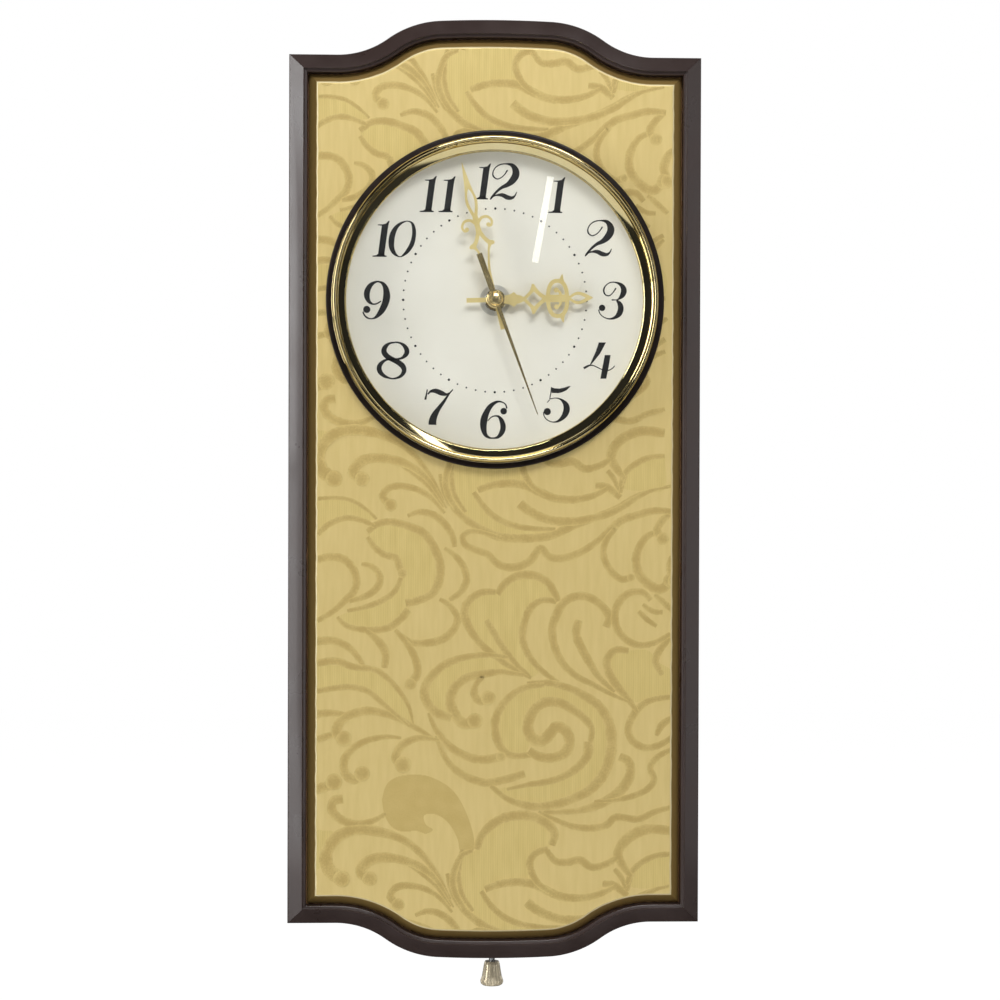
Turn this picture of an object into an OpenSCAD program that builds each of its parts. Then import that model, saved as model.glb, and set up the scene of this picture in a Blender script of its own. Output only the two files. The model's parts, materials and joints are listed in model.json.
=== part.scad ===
// Battery-driven wall clock in an ogee-topped lacquered frame, with a transistor
// balance movement. Millimetres. Every module is drawn flat on the wall: x to the
// right, y up, z out of the wall. place() then stands the clock up, so that +Z is up
// and -Y faces the room. The origin is the round hole of the hanger plate.

/* [Case] */
// Width of the case across its straight sides
case_w = 206; // [196:1:220]
// Height of the case between its flat shoulders
case_h = 433.6; // [420:0.2:450]
// Rise of the crown above the flat shoulders, top and bottom
crown_rise = 18; // [16:0.5:20]
// Radius of the nearly flat crest of the crown
crest_r = 600; // [450:10:900]
// Half width of the crest
crest_half = 27.5; // [22:0.5:30]
// Radius of the crown's rounded shoulder
crown_r = 49; // [44:0.5:54]
// Radius of the hollow between the crown and the flat shoulder
cove_r = 43; // [38:0.5:48]
// Distance of the case's outer front edge from the wall
side_d = 53; // [52:0.2:55]
// Distance of the bevel's inner arris from the wall
arris_d = 57.6; // [56.4:0.2:59]
// Width of the bevelled face of the frame
face_w = 7.6; // [7:0.1:8]
// Width of the frame from its outside to its inner wall
frame_w = 9.2; // [8.9:0.1:10]
// Thickness of the frame's wall behind the step that stops the board
wall_t = 6.2; // [5.5:0.1:6.8]
// Width of the frame's edge outside the rebate for the back board
rebate_w = 3.4; // [3:0.1:4]
// Width of the square corner blocks
block_w = 16; // [12:0.5:20]

/* [Boards] */
// Gap between the frame's inner wall and the padded front panel
panel_gap = 0.6; // [0.4:0.1:1]
// Thickness of the padded front panel
panel_t = 6; // [5:0.2:6.5]
// Width of the panel's padded edge
roll_w = 4.8; // [3.6:0.1:5.4]
// Fall of the panel's padded edge towards its sides
roll_drop = 4.4; // [3:0.1:5]
// Thickness of the mounting board
board_t = 4; // [3:0.2:5]
// Distance of the mounting board's front from the wall
board_d = 49; // [48.4:0.2:49.6]
// Thickness of the back board
back_t = 3; // [2:0.1:3.4]
// Distance of the back board's rear face from the wall
back_d = 1.2; // [1.2:0.1:2]
// Clearance of each board in the frame
board_fit = 0.2; // [0.1:0.05:0.5]
// Width of the service window in the back board
window_w = 88; // [84:1:100]
// Reach of the service window above the dial's centre
window_up = 83; // [82:1:88]
// Reach of the service window below the dial's centre
window_down = 41; // [40:1:50]

/* [Dial and bezel] */
// Height of the dial's centre above the middle of the case
dial_rise = 95; // [88:0.5:98]
// Thickness of the dial plate
dial_t = 0.6; // [0.4:0.1:1]
// Outer radius of the gold bezel
bezel_r = 81.6; // [78:0.1:84]
// Width of the dark base ring that shows round the bezel
base_lip = 2.8; // [2:0.1:3.2]
// Thickness of the dark base ring
base_t = 1.6; // [1:0.2:2.4]
// Radius of the rounded bead at the bezel's front
bead_r = 0.9; // [0.8:0.1:1.2]
// Height of the bezel above the dark base ring
bezel_h = 6.8; // [6.4:0.2:9]
// Width of the inner ring between the dial's edge and the glass
cone_w = 4.4; // [3.4:0.1:5]
// Thickness of the glass
glass_t = 1.8; // [1.2:0.1:2.2]
// Rise of the glass dome
glass_rise = 5.4; // [4.8:0.2:8]

/* [Hands] */
// Time shown by the hour hand, as an angle clockwise from twelve
hour_angle = 88.4; // [0:0.1:360]
// Time shown by the minute hand, as an angle clockwise from twelve
minute_angle = 345.9; // [0:0.1:360]
// Time shown by the second hand, as an angle clockwise from twelve
second_angle = 159.8; // [0:0.1:360]
// Thickness of the hour hand and of the minute hand
hand_t = 0.6; // [0.4:0.1:0.8]
// Thickness of the second hand
second_t = 0.4; // [0.3:0.1:0.6]
// Gap along the centre from the dial nut to the hour hand
hour_hand_gap = 1.6; // [1:0.1:2]
// Distance between neighbouring hands, front to front
hand_step = 2.6; // [2.2:0.1:2.8]
// Length of the hour hand from the centre to its tip
hour_len = 48.7; // [46:0.1:52]
// Length of the minute hand from the centre to its tip
minute_len = 69.8; // [66:0.1:71]
// Length of the second hand from the centre to its tip
second_len = 61; // [55:0.5:66]
// Length of the second hand's tail
second_tail = 24; // [18:0.5:28]
// Radius of the second hand's domed cap
cap_r = 4.6; // [4:0.1:5.2]
// Radius of the dial nut
nut_r = 5.5; // [5.2:0.1:6.5]
// Thickness of the dial nut
nut_t = 2; // [1.5:0.1:2.5]
// Radius of the washer under the nut
washer_r = 7.75; // [7:0.05:9]
// Thickness of the washer under the nut
washer_t = 0.6; // [0.4:0.1:1]

/* [Movement] */
// Half width of the movement plates
plate_x = 40; // [39:0.5:42]
// Half height of the movement plates
plate_y = 37; // [36.6:0.2:39]
// Thickness of each movement plate
plate_t = 1.5; // [1:0.1:2]
// Space between the movement plates
train_gap = 18; // [17.8:0.1:19]
// Radius of the pillars
pillar_r = 2.5; // [2:0.1:3]
// Module of the seconds pinion and the third wheel
third_m = 0.52; // [0.5:0.01:0.54]
// Module of the motion work's first pair
motion_m = 0.5; // [0.47:0.01:0.52]
// Module of the index pinion and the seconds wheel
index_m = 0.39; // [0.37:0.005:0.4]
// Thickness of the wheels
wheel_t = 1; // [0.6:0.1:1.2]
// Direction of the index arbor seen from the centre
index_dir = -35; // [-40:1:-30]
// Radius of the seconds arbor
seconds_arbor_r = 1; // [0.8:0.05:1.2]
// Wall of the minute pipe
minute_pipe_wall = 0.85; // [0.6:0.05:1]
// Wall of the hour pipe
hour_pipe_wall = 0.75; // [0.6:0.05:1]
// Wall of the centre bush
bush_wall = 1.25; // [1:0.05:1.4]
// Radial clearance of every shaft that turns or slides in a hole
running = 0.05; // [0.03:0.01:0.08]

/* [Balance] */
// Radius of the balance discs
balance_r = 12.5; // [11.5:0.1:12.8]
// Thickness of each balance disc
disc_t = 1; // [0.8:0.1:1.1]
// Distance from the balance staff to the coil and to the magnets
coil_reach = 8; // [7.5:0.1:8.3]
// Radius of the drive coil
coil_r = 4.6; // [4:0.1:5]
// Thickness of the drive coil
coil_t = 1.9; // [1.5:0.1:2]
// Radius of the magnets
magnet_r = 2.2; // [1.8:0.1:2.6]
// Thickness of the magnets
magnet_t = 1.1; // [0.8:0.1:1.3]
// Outer radius of the hairspring
hairspring_r = 5.5; // [5:0.1:6]
// Turns of the hairspring
hairspring_turns = 5; // [3:1:6]

/* [Power] */
// Radius of the battery
battery_r = 16.6; // [16.2:0.1:16.8]
// Length of the battery's body
battery_l = 59.5; // [58:0.5:60]
// Height of the battery's axis above the dial's centre
battery_up = 61; // [60.5:0.5:62]
// Distance of the battery's axis behind the mounting board
battery_in = 21; // [20:0.2:22]
// Clearance of the battery in its tray
battery_fit = 0.7; // [0.5:0.1:1]
// Wall of the battery tray
tray_wall = 1.6; // [1.2:0.1:2]
// Diameter of the leads
lead_dia = 1.4; // [1:0.1:1.6]

/* [Hand setting] */
// Radius of the setting rod
rod_r = 1.5; // [1.2:0.05:1.8]
// Travel of the setting knob when it is pushed up
push = 4; // [3:0.1:4]
// Gap between the case's bottom and the knob
knob_gap = 5; // [4.8:0.1:6]
// Length of the knob
knob_l = 12; // [10.4:0.2:15]
// Radius of the knob at its top
knob_top_r = 4; // [3.4:0.1:4.4]
// Radius of the knob at its widest
knob_r = 5.9; // [5.2:0.1:6.6]
// Radius of the return spring's wire
wire_r = 0.35; // [0.25:0.05:0.4]
// Radius of the return spring, to the middle of its wire
spring_r = 3.1; // [2.9:0.1:3.4]
// Length of the return spring
spring_l = 20; // [18:0.5:24]
// Turns of the return spring
spring_turns = 8; // [6:1:9]

/* [Hanger] */
// Distance of the hanger's hole below the flat shoulder
hanger_drop = 10; // [6:0.5:14]
// Radius of the hanger's round hole
hanger_r = 5; // [4:0.1:5.5]
// Width of the hanger's slot
slot_w = 4.6; // [4:0.1:4.8]
// Length of the slot above the hole's centre
slot_up = 9; // [8:0.5:10]
// Thickness of the hanger plate
hanger_t = 1.2; // [0.8:0.1:1.2]

/* [Hidden] */

$fn = 96;

// Heights on the wall and depths from the wall
case_y = hanger_drop - case_h / 2;
dial_y = case_y + dial_rise;
bottom_y = case_y - case_h / 2 - crown_rise;
panel_d = board_d + panel_t;
dial_d = board_d + dial_t;
bezel_d = panel_d + base_t;
nut_d = dial_d + washer_t + nut_t;
hour_hand_d = nut_d + hour_hand_gap;
minute_hand_d = hour_hand_d + hand_step;
second_hand_d = minute_hand_d + hand_step;
board_back_d = board_d - board_t;
battery_d = board_back_d - battery_in;
front_plate_d = board_back_d - plate_t;
back_plate_d = front_plate_d - train_gap;
movement_d = back_plate_d - plate_t;
block_d = back_d + back_t;

// Radii of the pipes at the centre, from the inside out
minute_bore = seconds_arbor_r + running;
minute_pipe_r = minute_bore + minute_pipe_wall;
hour_bore = minute_pipe_r + running;
hour_pipe_r = hour_bore + hour_pipe_wall;
bush_bore = hour_pipe_r + running;
bush_r = bush_bore + bush_wall;
seat_fit = 0.03;
hole_fit = 0.25;
arbor_r = 0.8;
pivot_r = 0.5;
index_arbor_r = 0.7;

// Tooth counts of the train: sixty to one from minutes to seconds, twelve to one
// from minutes to hours, ten to one from the index wheel to seconds
seconds_pinion_n = 8;
third_wheel_n = 60;
third_pinion_n = 8;
centre_wheel_n = 64;
cannon_n = 12;
minute_wheel_n = 36;
minute_pinion_n = 10;
hour_wheel_n = 40;
seconds_wheel_n = 80;
index_pinion_n = 8;
index_teeth = 15;

// Centre distances, and the modules that follow from them
third_cd = third_m * (seconds_pinion_n + third_wheel_n) / 2;
centre_m = 2 * third_cd / (third_pinion_n + centre_wheel_n);
motion_cd = motion_m * (cannon_n + minute_wheel_n) / 2;
hour_m = 2 * motion_cd / (minute_pinion_n + hour_wheel_n);
index_cd = index_m * (index_pinion_n + seconds_wheel_n) / 2;
third_at = [0, third_cd];
motion_at = [0, -motion_cd];
index_at = index_cd * [cos(index_dir), sin(index_dir)];

// The balance stands off the index wheel by the star, the finger and a small gap
index_star_r = 5.5;
finger_reach = 2.6;
finger_gap = 0.2;
balance_dir = index_dir - 40;
balance_at = index_at
    + (index_star_r + finger_reach + finger_gap) * [cos(balance_dir), sin(balance_dir)];

// Levels of the train between the plates
seconds_wheel_d = back_plate_d + 1.5;
seconds_pinion_d = seconds_wheel_d + wheel_t + 1.3;
third_wheel_d = seconds_pinion_d + 0.8;
third_pinion_d = third_wheel_d + wheel_t + 1.5;
centre_wheel_d = third_pinion_d + 0.7;
hour_wheel_d = front_plate_d - 2.9;
minute_wheel_d = hour_wheel_d - 3;
cannon_d = minute_wheel_d - 0.6;
clip_d = centre_wheel_d + wheel_t + 1;
clip_t = 0.5;

// Levels of the balance behind the back plate
star_d = movement_d - 3.4;
front_disc_d = star_d - 2 - disc_t;
coil_d = front_disc_d - magnet_t - 0.4 - coil_t;
rear_disc_d = coil_d - 0.4 - magnet_t - disc_t;
hairspring_d = rear_disc_d - 1.8;
hairspring_h = 0.7;
cock_front_d = hairspring_d - 0.8;
cock_t = 1.8;
cock_d = cock_front_d - cock_t;
lever_t = 0.9;
endstone_t = 0.8;
coil_dir = 120;
coil_at = balance_at + coil_reach * [cos(coil_dir), sin(coil_dir)];
pcb_t = 1.6;
pcb_d = coil_d + coil_t;
cover_d = cock_d - lever_t - endstone_t - 2.7;
cover_wall = 1.4;
cover_x = plate_x - 5.5;
cover_y = plate_y - 1;

// The setting rod's cone rolls on a flange of the minute wheel, as two bevels whose
// points meet where the rod's axis crosses the wheel's
cone_slope = 0.325;
cone_touch = 8;
cone_inner = 5.5;
cone_gap = 0.12;
flange_d = minute_wheel_d - 0.2;
rod_d = flange_d - cone_slope * cone_touch - cone_gap;
cone_base_y = dial_y - motion_cd - cone_touch - push;
cone_skirt = 2;
guide_half = 4;
guide_w = 12;
guide_back = 4;
guide_high_y = dial_y - 47;
guide_low_y = bottom_y + 64;
washer_y = guide_low_y - guide_half - spring_l;
setting_washer_t = 1.2;
rod_flange_t = 1.2;
rod_in_knob = 9.4;
knob_top_y = bottom_y - knob_gap;

// Outline of the case, inset all round by t. Top and bottom edges are mirror images.
crest_tilt = asin(crest_half / crest_r);
crown_c = (crest_r - crown_r) * [sin(crest_tilt), cos(crest_tilt)]
    + [0, crown_rise - crest_r];
cove_tilt = acos((cove_r - crown_c[1]) / (crown_r + cove_r));
cove_c = crown_c + (crown_r + cove_r) * [sin(cove_tilt), cos(cove_tilt)];
arc_steps = 10;
crest_steps = 6;

// Points of an arc about c, from angle a to angle b, counted clockwise from up
function arc(c, r, a, b, steps) =
    [for (i = [0:steps]) let (v = a + (b - a) * i / steps) c + r * [sin(v), cos(v)]];

function flip_x(points) = [for (i = [len(points) - 1:-1:0]) [-points[i][0], points[i][1]]];

function half_edge(t) = concat(
    [[case_w / 2 - t, -t]],
    arc(cove_c, cove_r + t, 180, 180 + cove_tilt, arc_steps),
    arc(crown_c, crown_r - t, cove_tilt + (crest_tilt - cove_tilt) / arc_steps, crest_tilt,
        arc_steps - 1),
    arc([0, crown_rise - crest_r], crest_r - t, crest_tilt * (1 - 1 / crest_steps), 0,
        crest_steps - 1)
);

function rim_edge(t) =
    let (half = half_edge(t), left = flip_x(half))
    concat(half, [for (i = [1:len(left) - 1]) left[i]]);

function top_edge(t) = [for (p = rim_edge(t)) [p[0], p[1] + hanger_drop]];
function bottom_edge(t) = [for (p = rim_edge(t)) [p[0], 2 * case_y - p[1] - hanger_drop]];
function case_outline(t) =
    let (low = bottom_edge(t))
    concat(top_edge(t), [for (i = [len(low) - 1:-1:0]) low[i]]);

// Section of the frame: distance in from the outside, then distance from the wall
ledge_drop = 1.3;
frame_section = [
    [0, 0], [0, side_d - 0.4], [0.25, side_d], [0.8, side_d + 0.4],
    [face_w - 0.3, arris_d - 0.1], [face_w, arris_d - 0.2],
    [face_w + 0.1, arris_d - ledge_drop], [frame_w - 0.2, arris_d - ledge_drop - 0.3],
    [frame_w, arris_d - ledge_drop - 0.6], [frame_w, board_d],
    [wall_t, board_d], [wall_t, block_d], [rebate_w, block_d], [rebate_w, 0]
];

// Faces across a case outline, from side to side, so that no face has all its points in line
function outline_cap() =
    let (m = len(rim_edge(0)), c = (m - 1) / 2)
    concat(
        [for (s = [0, m]) for (j = [1:c - 2])
            [s + j, s + j + 1, s + m - 2 - j, s + m - 1 - j]],
        [for (s = [0, m]) [s + c - 1, s + c, s + c + 1]],
        [[0, 1, 2 * m - 2, 2 * m - 1], [1, m - 2, m + 1, 2 * m - 2], [m - 2, m - 1, m, m + 1]]
    );

// A closed polyhedron through rings of points that all have the same count
module rings(list, cap = []) {
    count = len(list[0]);
    last = len(list) - 1;
    ends = len(cap) > 0 ? cap : [[for (j = [0:count - 1]) j]];
    polyhedron(
        points = [for (ring = list) for (p = ring) p],
        faces = concat(
            ends,
            [for (face = ends) [for (j = [len(face) - 1:-1:0]) last * count + face[j]]],
            [for (i = [0:last - 1]) for (j = [0:count - 1]) for (half = [0, 1])
                let (k = (j + 1) % count, near = i * count, far = near + count)
                half == 0 ? [near + j, far + j, far + k] : [near + j, far + k, near + k]]
        ),
        convexity = 6
    );
}

// A smooth line through a few points
function blend(a, b, c, d, t) =
    0.5 * (2 * b + (c - a) * t + (2 * a - 5 * b + 4 * c - d) * t * t
        + (3 * b - a - 3 * c + d) * t * t * t);

function smooth(p, steps = 4) =
    let (n = len(p) - 1)
    concat(
        [for (i = [0:n - 1]) for (k = [0:steps - 1])
            blend(p[max(i - 1, 0)], p[i], p[i + 1], p[min(i + 2, n)], k / steps)],
        [p[n]]
    );

// A strip of changing width along a line
function along(p, i) =
    let (a = p[max(i - 1, 0)], b = p[min(i + 1, len(p) - 1)]) (b - a) / norm(b - a);

function strip(p, w0, w1) =
    let (n = len(p) - 1)
    concat(
        [for (i = [0:n]) let (t = along(p, i)) p[i] + (w0 + (w1 - w0) * i / n) / 2 * [-t[1], t[0]]],
        [for (i = [n:-1:0]) let (t = along(p, i)) p[i] - (w0 + (w1 - w0) * i / n) / 2 * [-t[1], t[0]]]
    );

// A round tube swept along points in space
function cross_unit(a, b) = let (c = cross(a, b)) c / norm(c);
function tube_ring(p, t, up, r, sides) =
    let (u = cross_unit(t, up), v = cross(u, t))
    [for (k = [0:sides - 1]) p + r * (cos(360 * k / sides) * u + sin(360 * k / sides) * v)];

// Least gap of a wound wire to itself, from its points at least half a turn apart
function least_gap(p, half_turn, thickness) =
    min([for (i = [0:len(p) - 1 - half_turn]) for (j = [i + half_turn:len(p) - 1])
        norm(p[j] - p[i])]) - thickness;

module tube(p, r, sides, up) {
    rings([for (i = [0:len(p) - 1]) tube_ring(p[i], along(p, i), up, r, sides)]);
}

// Straight-flanked wheel or pinion teeth
function teeth(count, m, turn, root = 0.24, tip = 0.11) =
    let (pitch = 360 / count, low = m * (count / 2 - 1), high = m * (count / 2 + 0.75))
    [for (i = [0:count - 1])
        for (corner = [[low, -root], [high, -tip], [high, tip], [low, root]])
            let (a = turn + pitch * (i + corner[1])) corner[0] * [cos(a), sin(a)]];

module gear(count, m, turn, h) {
    linear_extrude(h)
        polygon(teeth(count, m, turn));
}

// Turns of each gear at rest, so that every pair is in mesh
third_turn = 90;
seconds_pinion_turn = third_turn;
third_wheel_turn = third_turn + 180 + 180 / third_wheel_n;
third_pinion_turn = third_turn + 180;
centre_wheel_turn = third_turn + 180 / centre_wheel_n;
motion_turn = -90;
cannon_turn = motion_turn;
minute_wheel_turn = motion_turn + 180 + 180 / minute_wheel_n;
minute_pinion_turn = motion_turn + 180;
hour_wheel_turn = motion_turn + 180 / hour_wheel_n;
seconds_wheel_turn = index_dir + 180 / seconds_wheel_n;
index_pinion_turn = index_dir + 180;

// Round holes that lighten a wheel between its hub and its rim
module spoke_holes(count, reach, r, h) {
    for (i = [0:count - 1])
        rotate(360 * (i + 0.5) / count)
            translate([reach, 0, -1])
                cylinder(h = h + 2, r = r, $fn = 36);
}

module place() {
    rotate([90, 0, 0])
        children();
}

module at_dial(d) {
    translate([0, dial_y, d])
        children();
}

module at_arbor(at, d) {
    translate([at[0], dial_y + at[1], d])
        children();
}

lacquer = [0.27, 0.22, 0.21];
gold = [0.83, 0.68, 0.38];
brass = [0.76, 0.62, 0.32];
steel = [0.72, 0.73, 0.75];
board_brown = [0.45, 0.31, 0.19];
hand_gold = [0.88, 0.81, 0.55];

// Frame
module mitre(y, up) {
    translate([-case_w / 2, y, -1])
        mirror([0, up ? 0 : 1, 0])
            rotate(-45)
                translate([-frame_w, 0, 0])
                    cube([4 * frame_w, 2 * frame_w, arris_d + 2]);
}

module stile() {
    low = 2 * case_y - hanger_drop;
    place()
        difference() {
            translate([0, hanger_drop, 0])
                rotate([90, 0, 0])
                    linear_extrude(hanger_drop - low)
                        polygon([for (s = frame_section) [s[0] - case_w / 2, s[1]]]);
            mitre(hanger_drop, true);
            mitre(low, false);
        }
}

module rail(edges, turned) {
    count = len(edges[0]);
    order = turned ? [count - 1:-1:0] : [0:count - 1];
    rings([for (i = order)
        [for (j = [0:len(frame_section) - 1])
            [edges[j][i][0], edges[j][i][1], frame_section[j][1]]]]);
}

module frame_left_stile() {
    color(lacquer)
        stile();
}

module frame_right_stile() {
    color(lacquer)
        mirror([1, 0, 0])
            stile();
}

module frame_top_rail() {
    color(lacquer)
        place()
            rail([for (s = frame_section) top_edge(s[0])], false);
}

module frame_bottom_rail() {
    color(lacquer)
        place()
            difference() {
                rail([for (s = frame_section) bottom_edge(s[0])], true);
                translate([0, bottom_y - 1, rod_d])
                    rotate([-90, 0, 0])
                        cylinder(h = wall_t + 4, r = bush_out_r + running);
            }
}

block_y = case_h / 2 - wall_t - block_w / 2;
block_x = case_w / 2 - wall_t - block_w / 2;
screw_r = 1.5;
screw_l = 14;
screw_head_r = 3.2;
screw_head_t = 1.1;

module at_corners() {
    for (x = [-1, 1])
        for (y = [-1, 1])
            translate([x * block_x, case_y + y * block_y, 0])
                children();
}

module corner_blocks() {
    color(board_brown)
        place()
            at_corners()
                difference() {
                    translate([-block_w / 2, -block_w / 2, block_d])
                        cube([block_w, block_w, board_back_d - block_d]);
                    translate([0, 0, block_d - 1])
                        cylinder(h = screw_l - back_t + 2, r = screw_r + running, $fn = 24);
                }
}

// Boards
module board(inset, d, t) {
    translate([0, 0, d])
        linear_extrude(t)
            polygon(case_outline(inset));
}

// Rolled edge of the panel: way in and depth below the front, as shares of its width and drop
roll_shape = [[0, 1], [0.05, 0.86], [0.5, 0.44], [0.84, 0.12], [0.93, 0.03], [1, 0]];
roll = [for (s = roll_shape) [roll_w * s[0], roll_drop * s[1]]];
panel_inset = frame_w + panel_gap;
hole_lip = 1.1;
panel_hole_r = bezel_r - hole_lip;

module front_panel() {
    sections = concat([[0, panel_t]], roll);
    color([0.80, 0.71, 0.50])
        place()
            difference() {
                rings([for (s = sections)
                    [for (p = case_outline(panel_inset + s[0])) [p[0], p[1], panel_d - s[1]]]],
                    outline_cap());
                at_dial(board_d - 1)
                    cylinder(h = panel_t + 2, r = panel_hole_r);
            }
}

module mounting_board() {
    color(board_brown)
        place()
            difference() {
                board(wall_t + board_fit, board_back_d, board_t);
                at_dial(board_back_d - 1)
                    cylinder(h = board_t + 2, r = bush_r + hole_fit);
            }
}

module back_board() {
    color([0.50, 0.36, 0.23])
        place()
            difference() {
                board(rebate_w + board_fit, back_d, back_t);
                translate([-window_w / 2, dial_y - window_down, back_d - 1])
                    cube([window_w, window_down + window_up, back_t + 2]);
                translate([-hanger_r - 2, -hanger_r - 2, back_d - 1])
                    cube([2 * hanger_r + 4, slot_up + slot_w + hanger_r + 2, back_t + 2]);
                at_corners()
                    translate([0, 0, back_d - 1])
                        cylinder(h = back_t + 2, r = screw_r + hole_fit, $fn = 24);
                for (p = rivet_spots)
                    translate([p[0], p[1], back_d - 1])
                        cylinder(h = back_t + 2, r = rivet_r + running, $fn = 24);
            }
}

module screw(head_r, head_t, shank_r, shank_l) {
    difference() {
        union() {
            translate([0, 0, -head_t])
                cylinder(h = head_t, r = head_r, $fn = 32);
            cylinder(h = shank_l, r = shank_r, $fn = 24);
        }
        translate([-head_r, -head_t * 0.3, -head_t - 0.1])
            cube([2 * head_r, head_t * 0.6, head_t * 0.5]);
    }
}

module back_screws() {
    color(steel)
        place()
            at_corners()
                translate([0, 0, back_d])
                    screw(screw_head_r, screw_head_t, screw_r, screw_l);
}

// Hanger
hanger_w = 28;
hanger_low = 12;
hanger_high = 19;
rivet_r = 1.2;
rivet_spots = [for (x = [-1, 1]) for (y = [3.2 - hanger_low, hanger_high - 3.2])
    [x * (hanger_w / 2 - 3.2), y]];

module hanger_plate() {
    color(steel)
        place()
            difference() {
                translate([-hanger_w / 2, -hanger_low, back_d - hanger_t])
                    cube([hanger_w, hanger_low + hanger_high, hanger_t]);
                translate([0, 0, back_d - hanger_t - 1])
                    cylinder(h = hanger_t + 2, r = hanger_r);
                translate([-slot_w / 2, 0, back_d - hanger_t - 1])
                    cube([slot_w, slot_up, hanger_t + 2]);
                translate([0, slot_up, back_d - hanger_t - 1])
                    cylinder(h = hanger_t + 2, r = slot_w / 2, $fn = 36);
                for (p = rivet_spots)
                    translate([p[0], p[1], back_d - hanger_t - 1])
                        cylinder(h = hanger_t + 2, r = rivet_r + running, $fn = 24);
            }
}

module hanger_rivets() {
    color(steel)
        place()
            for (p = rivet_spots)
                translate([p[0], p[1], back_d - hanger_t]) {
                    cylinder(h = hanger_t + back_t, r = rivet_r, $fn = 24);
                    translate([0, 0, hanger_t + back_t])
                        cylinder(h = 0.8, r = 2 * rivet_r, $fn = 24);
                }
}

// Bezel, inner ring and glass
bead_set = 0.8;
bead_c = [bezel_r - bead_set - bead_r, bezel_d + bezel_h - bead_r];
glass_edge_d = bezel_d + bezel_h - bead_r - 0.3;
glass_r = bead_c[0] - bead_r - 0.3;
glass_curve_r = (glass_r * glass_r + glass_rise * glass_rise) / (2 * glass_rise);
ring_top_d = glass_edge_d - glass_t;
lip_w = 0.6;
lip_d = glass_edge_d + lip_w * glass_r / glass_curve_r + 0.04;
seat_w = 2.5;
sight_r = glass_r - cone_w;
ring_foot = sight_r + 1.7;
dial_r = ring_foot + 3.1;

module ring(section) {
    at_dial(0)
        rotate_extrude($fn = 180)
            polygon(section);
}

module bezel_base_ring() {
    color([0.20, 0.17, 0.14])
        place()
            ring([
                [bezel_r - seat_w, panel_d], [bezel_r + base_lip, panel_d],
                [bezel_r + base_lip, bezel_d - 0.6], [bezel_r + base_lip - 0.5, bezel_d],
                [bezel_r - seat_w, bezel_d]
            ]);
}

module bezel() {
    rise = bezel_h - bead_r;
    color(gold)
        place()
            ring(concat(
                [
                    [bezel_r - 1.5, bezel_d], [bezel_r, bezel_d],
                    [bezel_r, bezel_d + 0.17 * rise], [bezel_r - 0.35, bezel_d + 0.23 * rise],
                    [bezel_r - 0.35, bezel_d + 0.3 * rise],
                    [bezel_r - 0.15, bezel_d + 0.35 * rise],
                    [bezel_r - 0.25, bezel_d + 0.47 * rise],
                    [bezel_r - 0.6, bezel_d + 0.53 * rise],
                    [bezel_r - 0.6, bezel_d + 0.6 * rise],
                    [bezel_r - 0.45, bezel_d + 0.65 * rise]
                ],
                arc(bead_c, bead_r, 100, -90, 10),
                [
                    [bead_c[0] - bead_r - lip_w, lip_d + 0.4],
                    [bead_c[0] - bead_r - lip_w, lip_d],
                    [glass_r + 0.2, lip_d], [glass_r + 0.2, ring_top_d - 0.4],
                    [bezel_r - 2.3, bezel_d + 2.4]
                ]
            ));
}

// Inner ring: a cone over the dial's edge under a thin upright wall
ring_wall = 0.7;
ring_pitch = 1.1;
ring_lip = 0.8;

module inner_ring() {
    color(gold)
        place()
            ring([
                [sight_r, dial_d], [ring_foot, dial_d],
                [glass_r, dial_d + ring_pitch * (glass_r - ring_foot)],
                [glass_r, ring_top_d], [glass_r - ring_wall, ring_top_d],
                [glass_r - ring_wall,
                    dial_d + ring_lip + ring_pitch * (glass_r - ring_wall - sight_r - ring_lip)],
                [sight_r + ring_lip, dial_d + ring_lip], [sight_r, dial_d + 0.5]
            ]);
}

glass_steps = 16;

function dome(d, steps) =
    [for (i = [0:steps])
        let (a = asin(glass_r / glass_curve_r) * i / steps)
        [glass_curve_r * sin(a), d + glass_rise - glass_curve_r * (1 - cos(a))]];

module glass() {
    front = dome(glass_edge_d, glass_steps);
    rear = dome(ring_top_d, glass_steps);
    color([0.85, 0.9, 0.9, 0.35])
        place()
            ring(concat(rear, [for (i = [glass_steps:-1:0]) front[i]]));
}

tab_spots = [30, 150, 270];
tab_inner_r = bezel_r - seat_w + 0.1;
tab_w = 8;

module bezel_tabs() {
    color(steel)
        place()
            for (a = tab_spots)
                at_dial(board_d)
                    rotate(a)
                        intersection() {
                            difference() {
                                cylinder(h = panel_t, r = panel_hole_r - 0.5, $fn = 180);
                                translate([0, 0, -1])
                                    cylinder(h = panel_t + 2, r = tab_inner_r, $fn = 180);
                            }
                            translate([panel_hole_r / 2, -tab_w / 2, -1])
                                cube([panel_hole_r, tab_w, panel_t + 2]);
                        }
}

module dial() {
    color([0.87, 0.86, 0.82])
        place()
            at_dial(board_d)
                difference() {
                    cylinder(h = dial_t, r = dial_r, $fn = 180);
                    translate([0, 0, -1])
                        cylinder(h = dial_t + 2, r = bush_r + hole_fit);
                }
}

module dial_washer() {
    color([0.66, 0.67, 0.68])
        place()
            at_dial(dial_d)
                difference() {
                    cylinder(h = washer_t, r = washer_r);
                    translate([0, 0, -1])
                        cylinder(h = washer_t + 2, r = bush_r + running);
                }
}

module dial_nut() {
    color(steel)
        place()
            at_dial(dial_d + washer_t)
                difference() {
                    rotate_extrude()
                        polygon([
                            [bush_r + running, 0], [nut_r, 0], [nut_r, nut_t - 0.4],
                            [nut_r - 0.4, nut_t], [bush_r + running, nut_t]
                        ]);
                    for (i = [0:1])
                        rotate(90 + 180 * i)
                            translate([bush_r + 0.4, -0.5, nut_t - 0.6])
                                cube([3, 1, 1]);
                }
}

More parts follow.
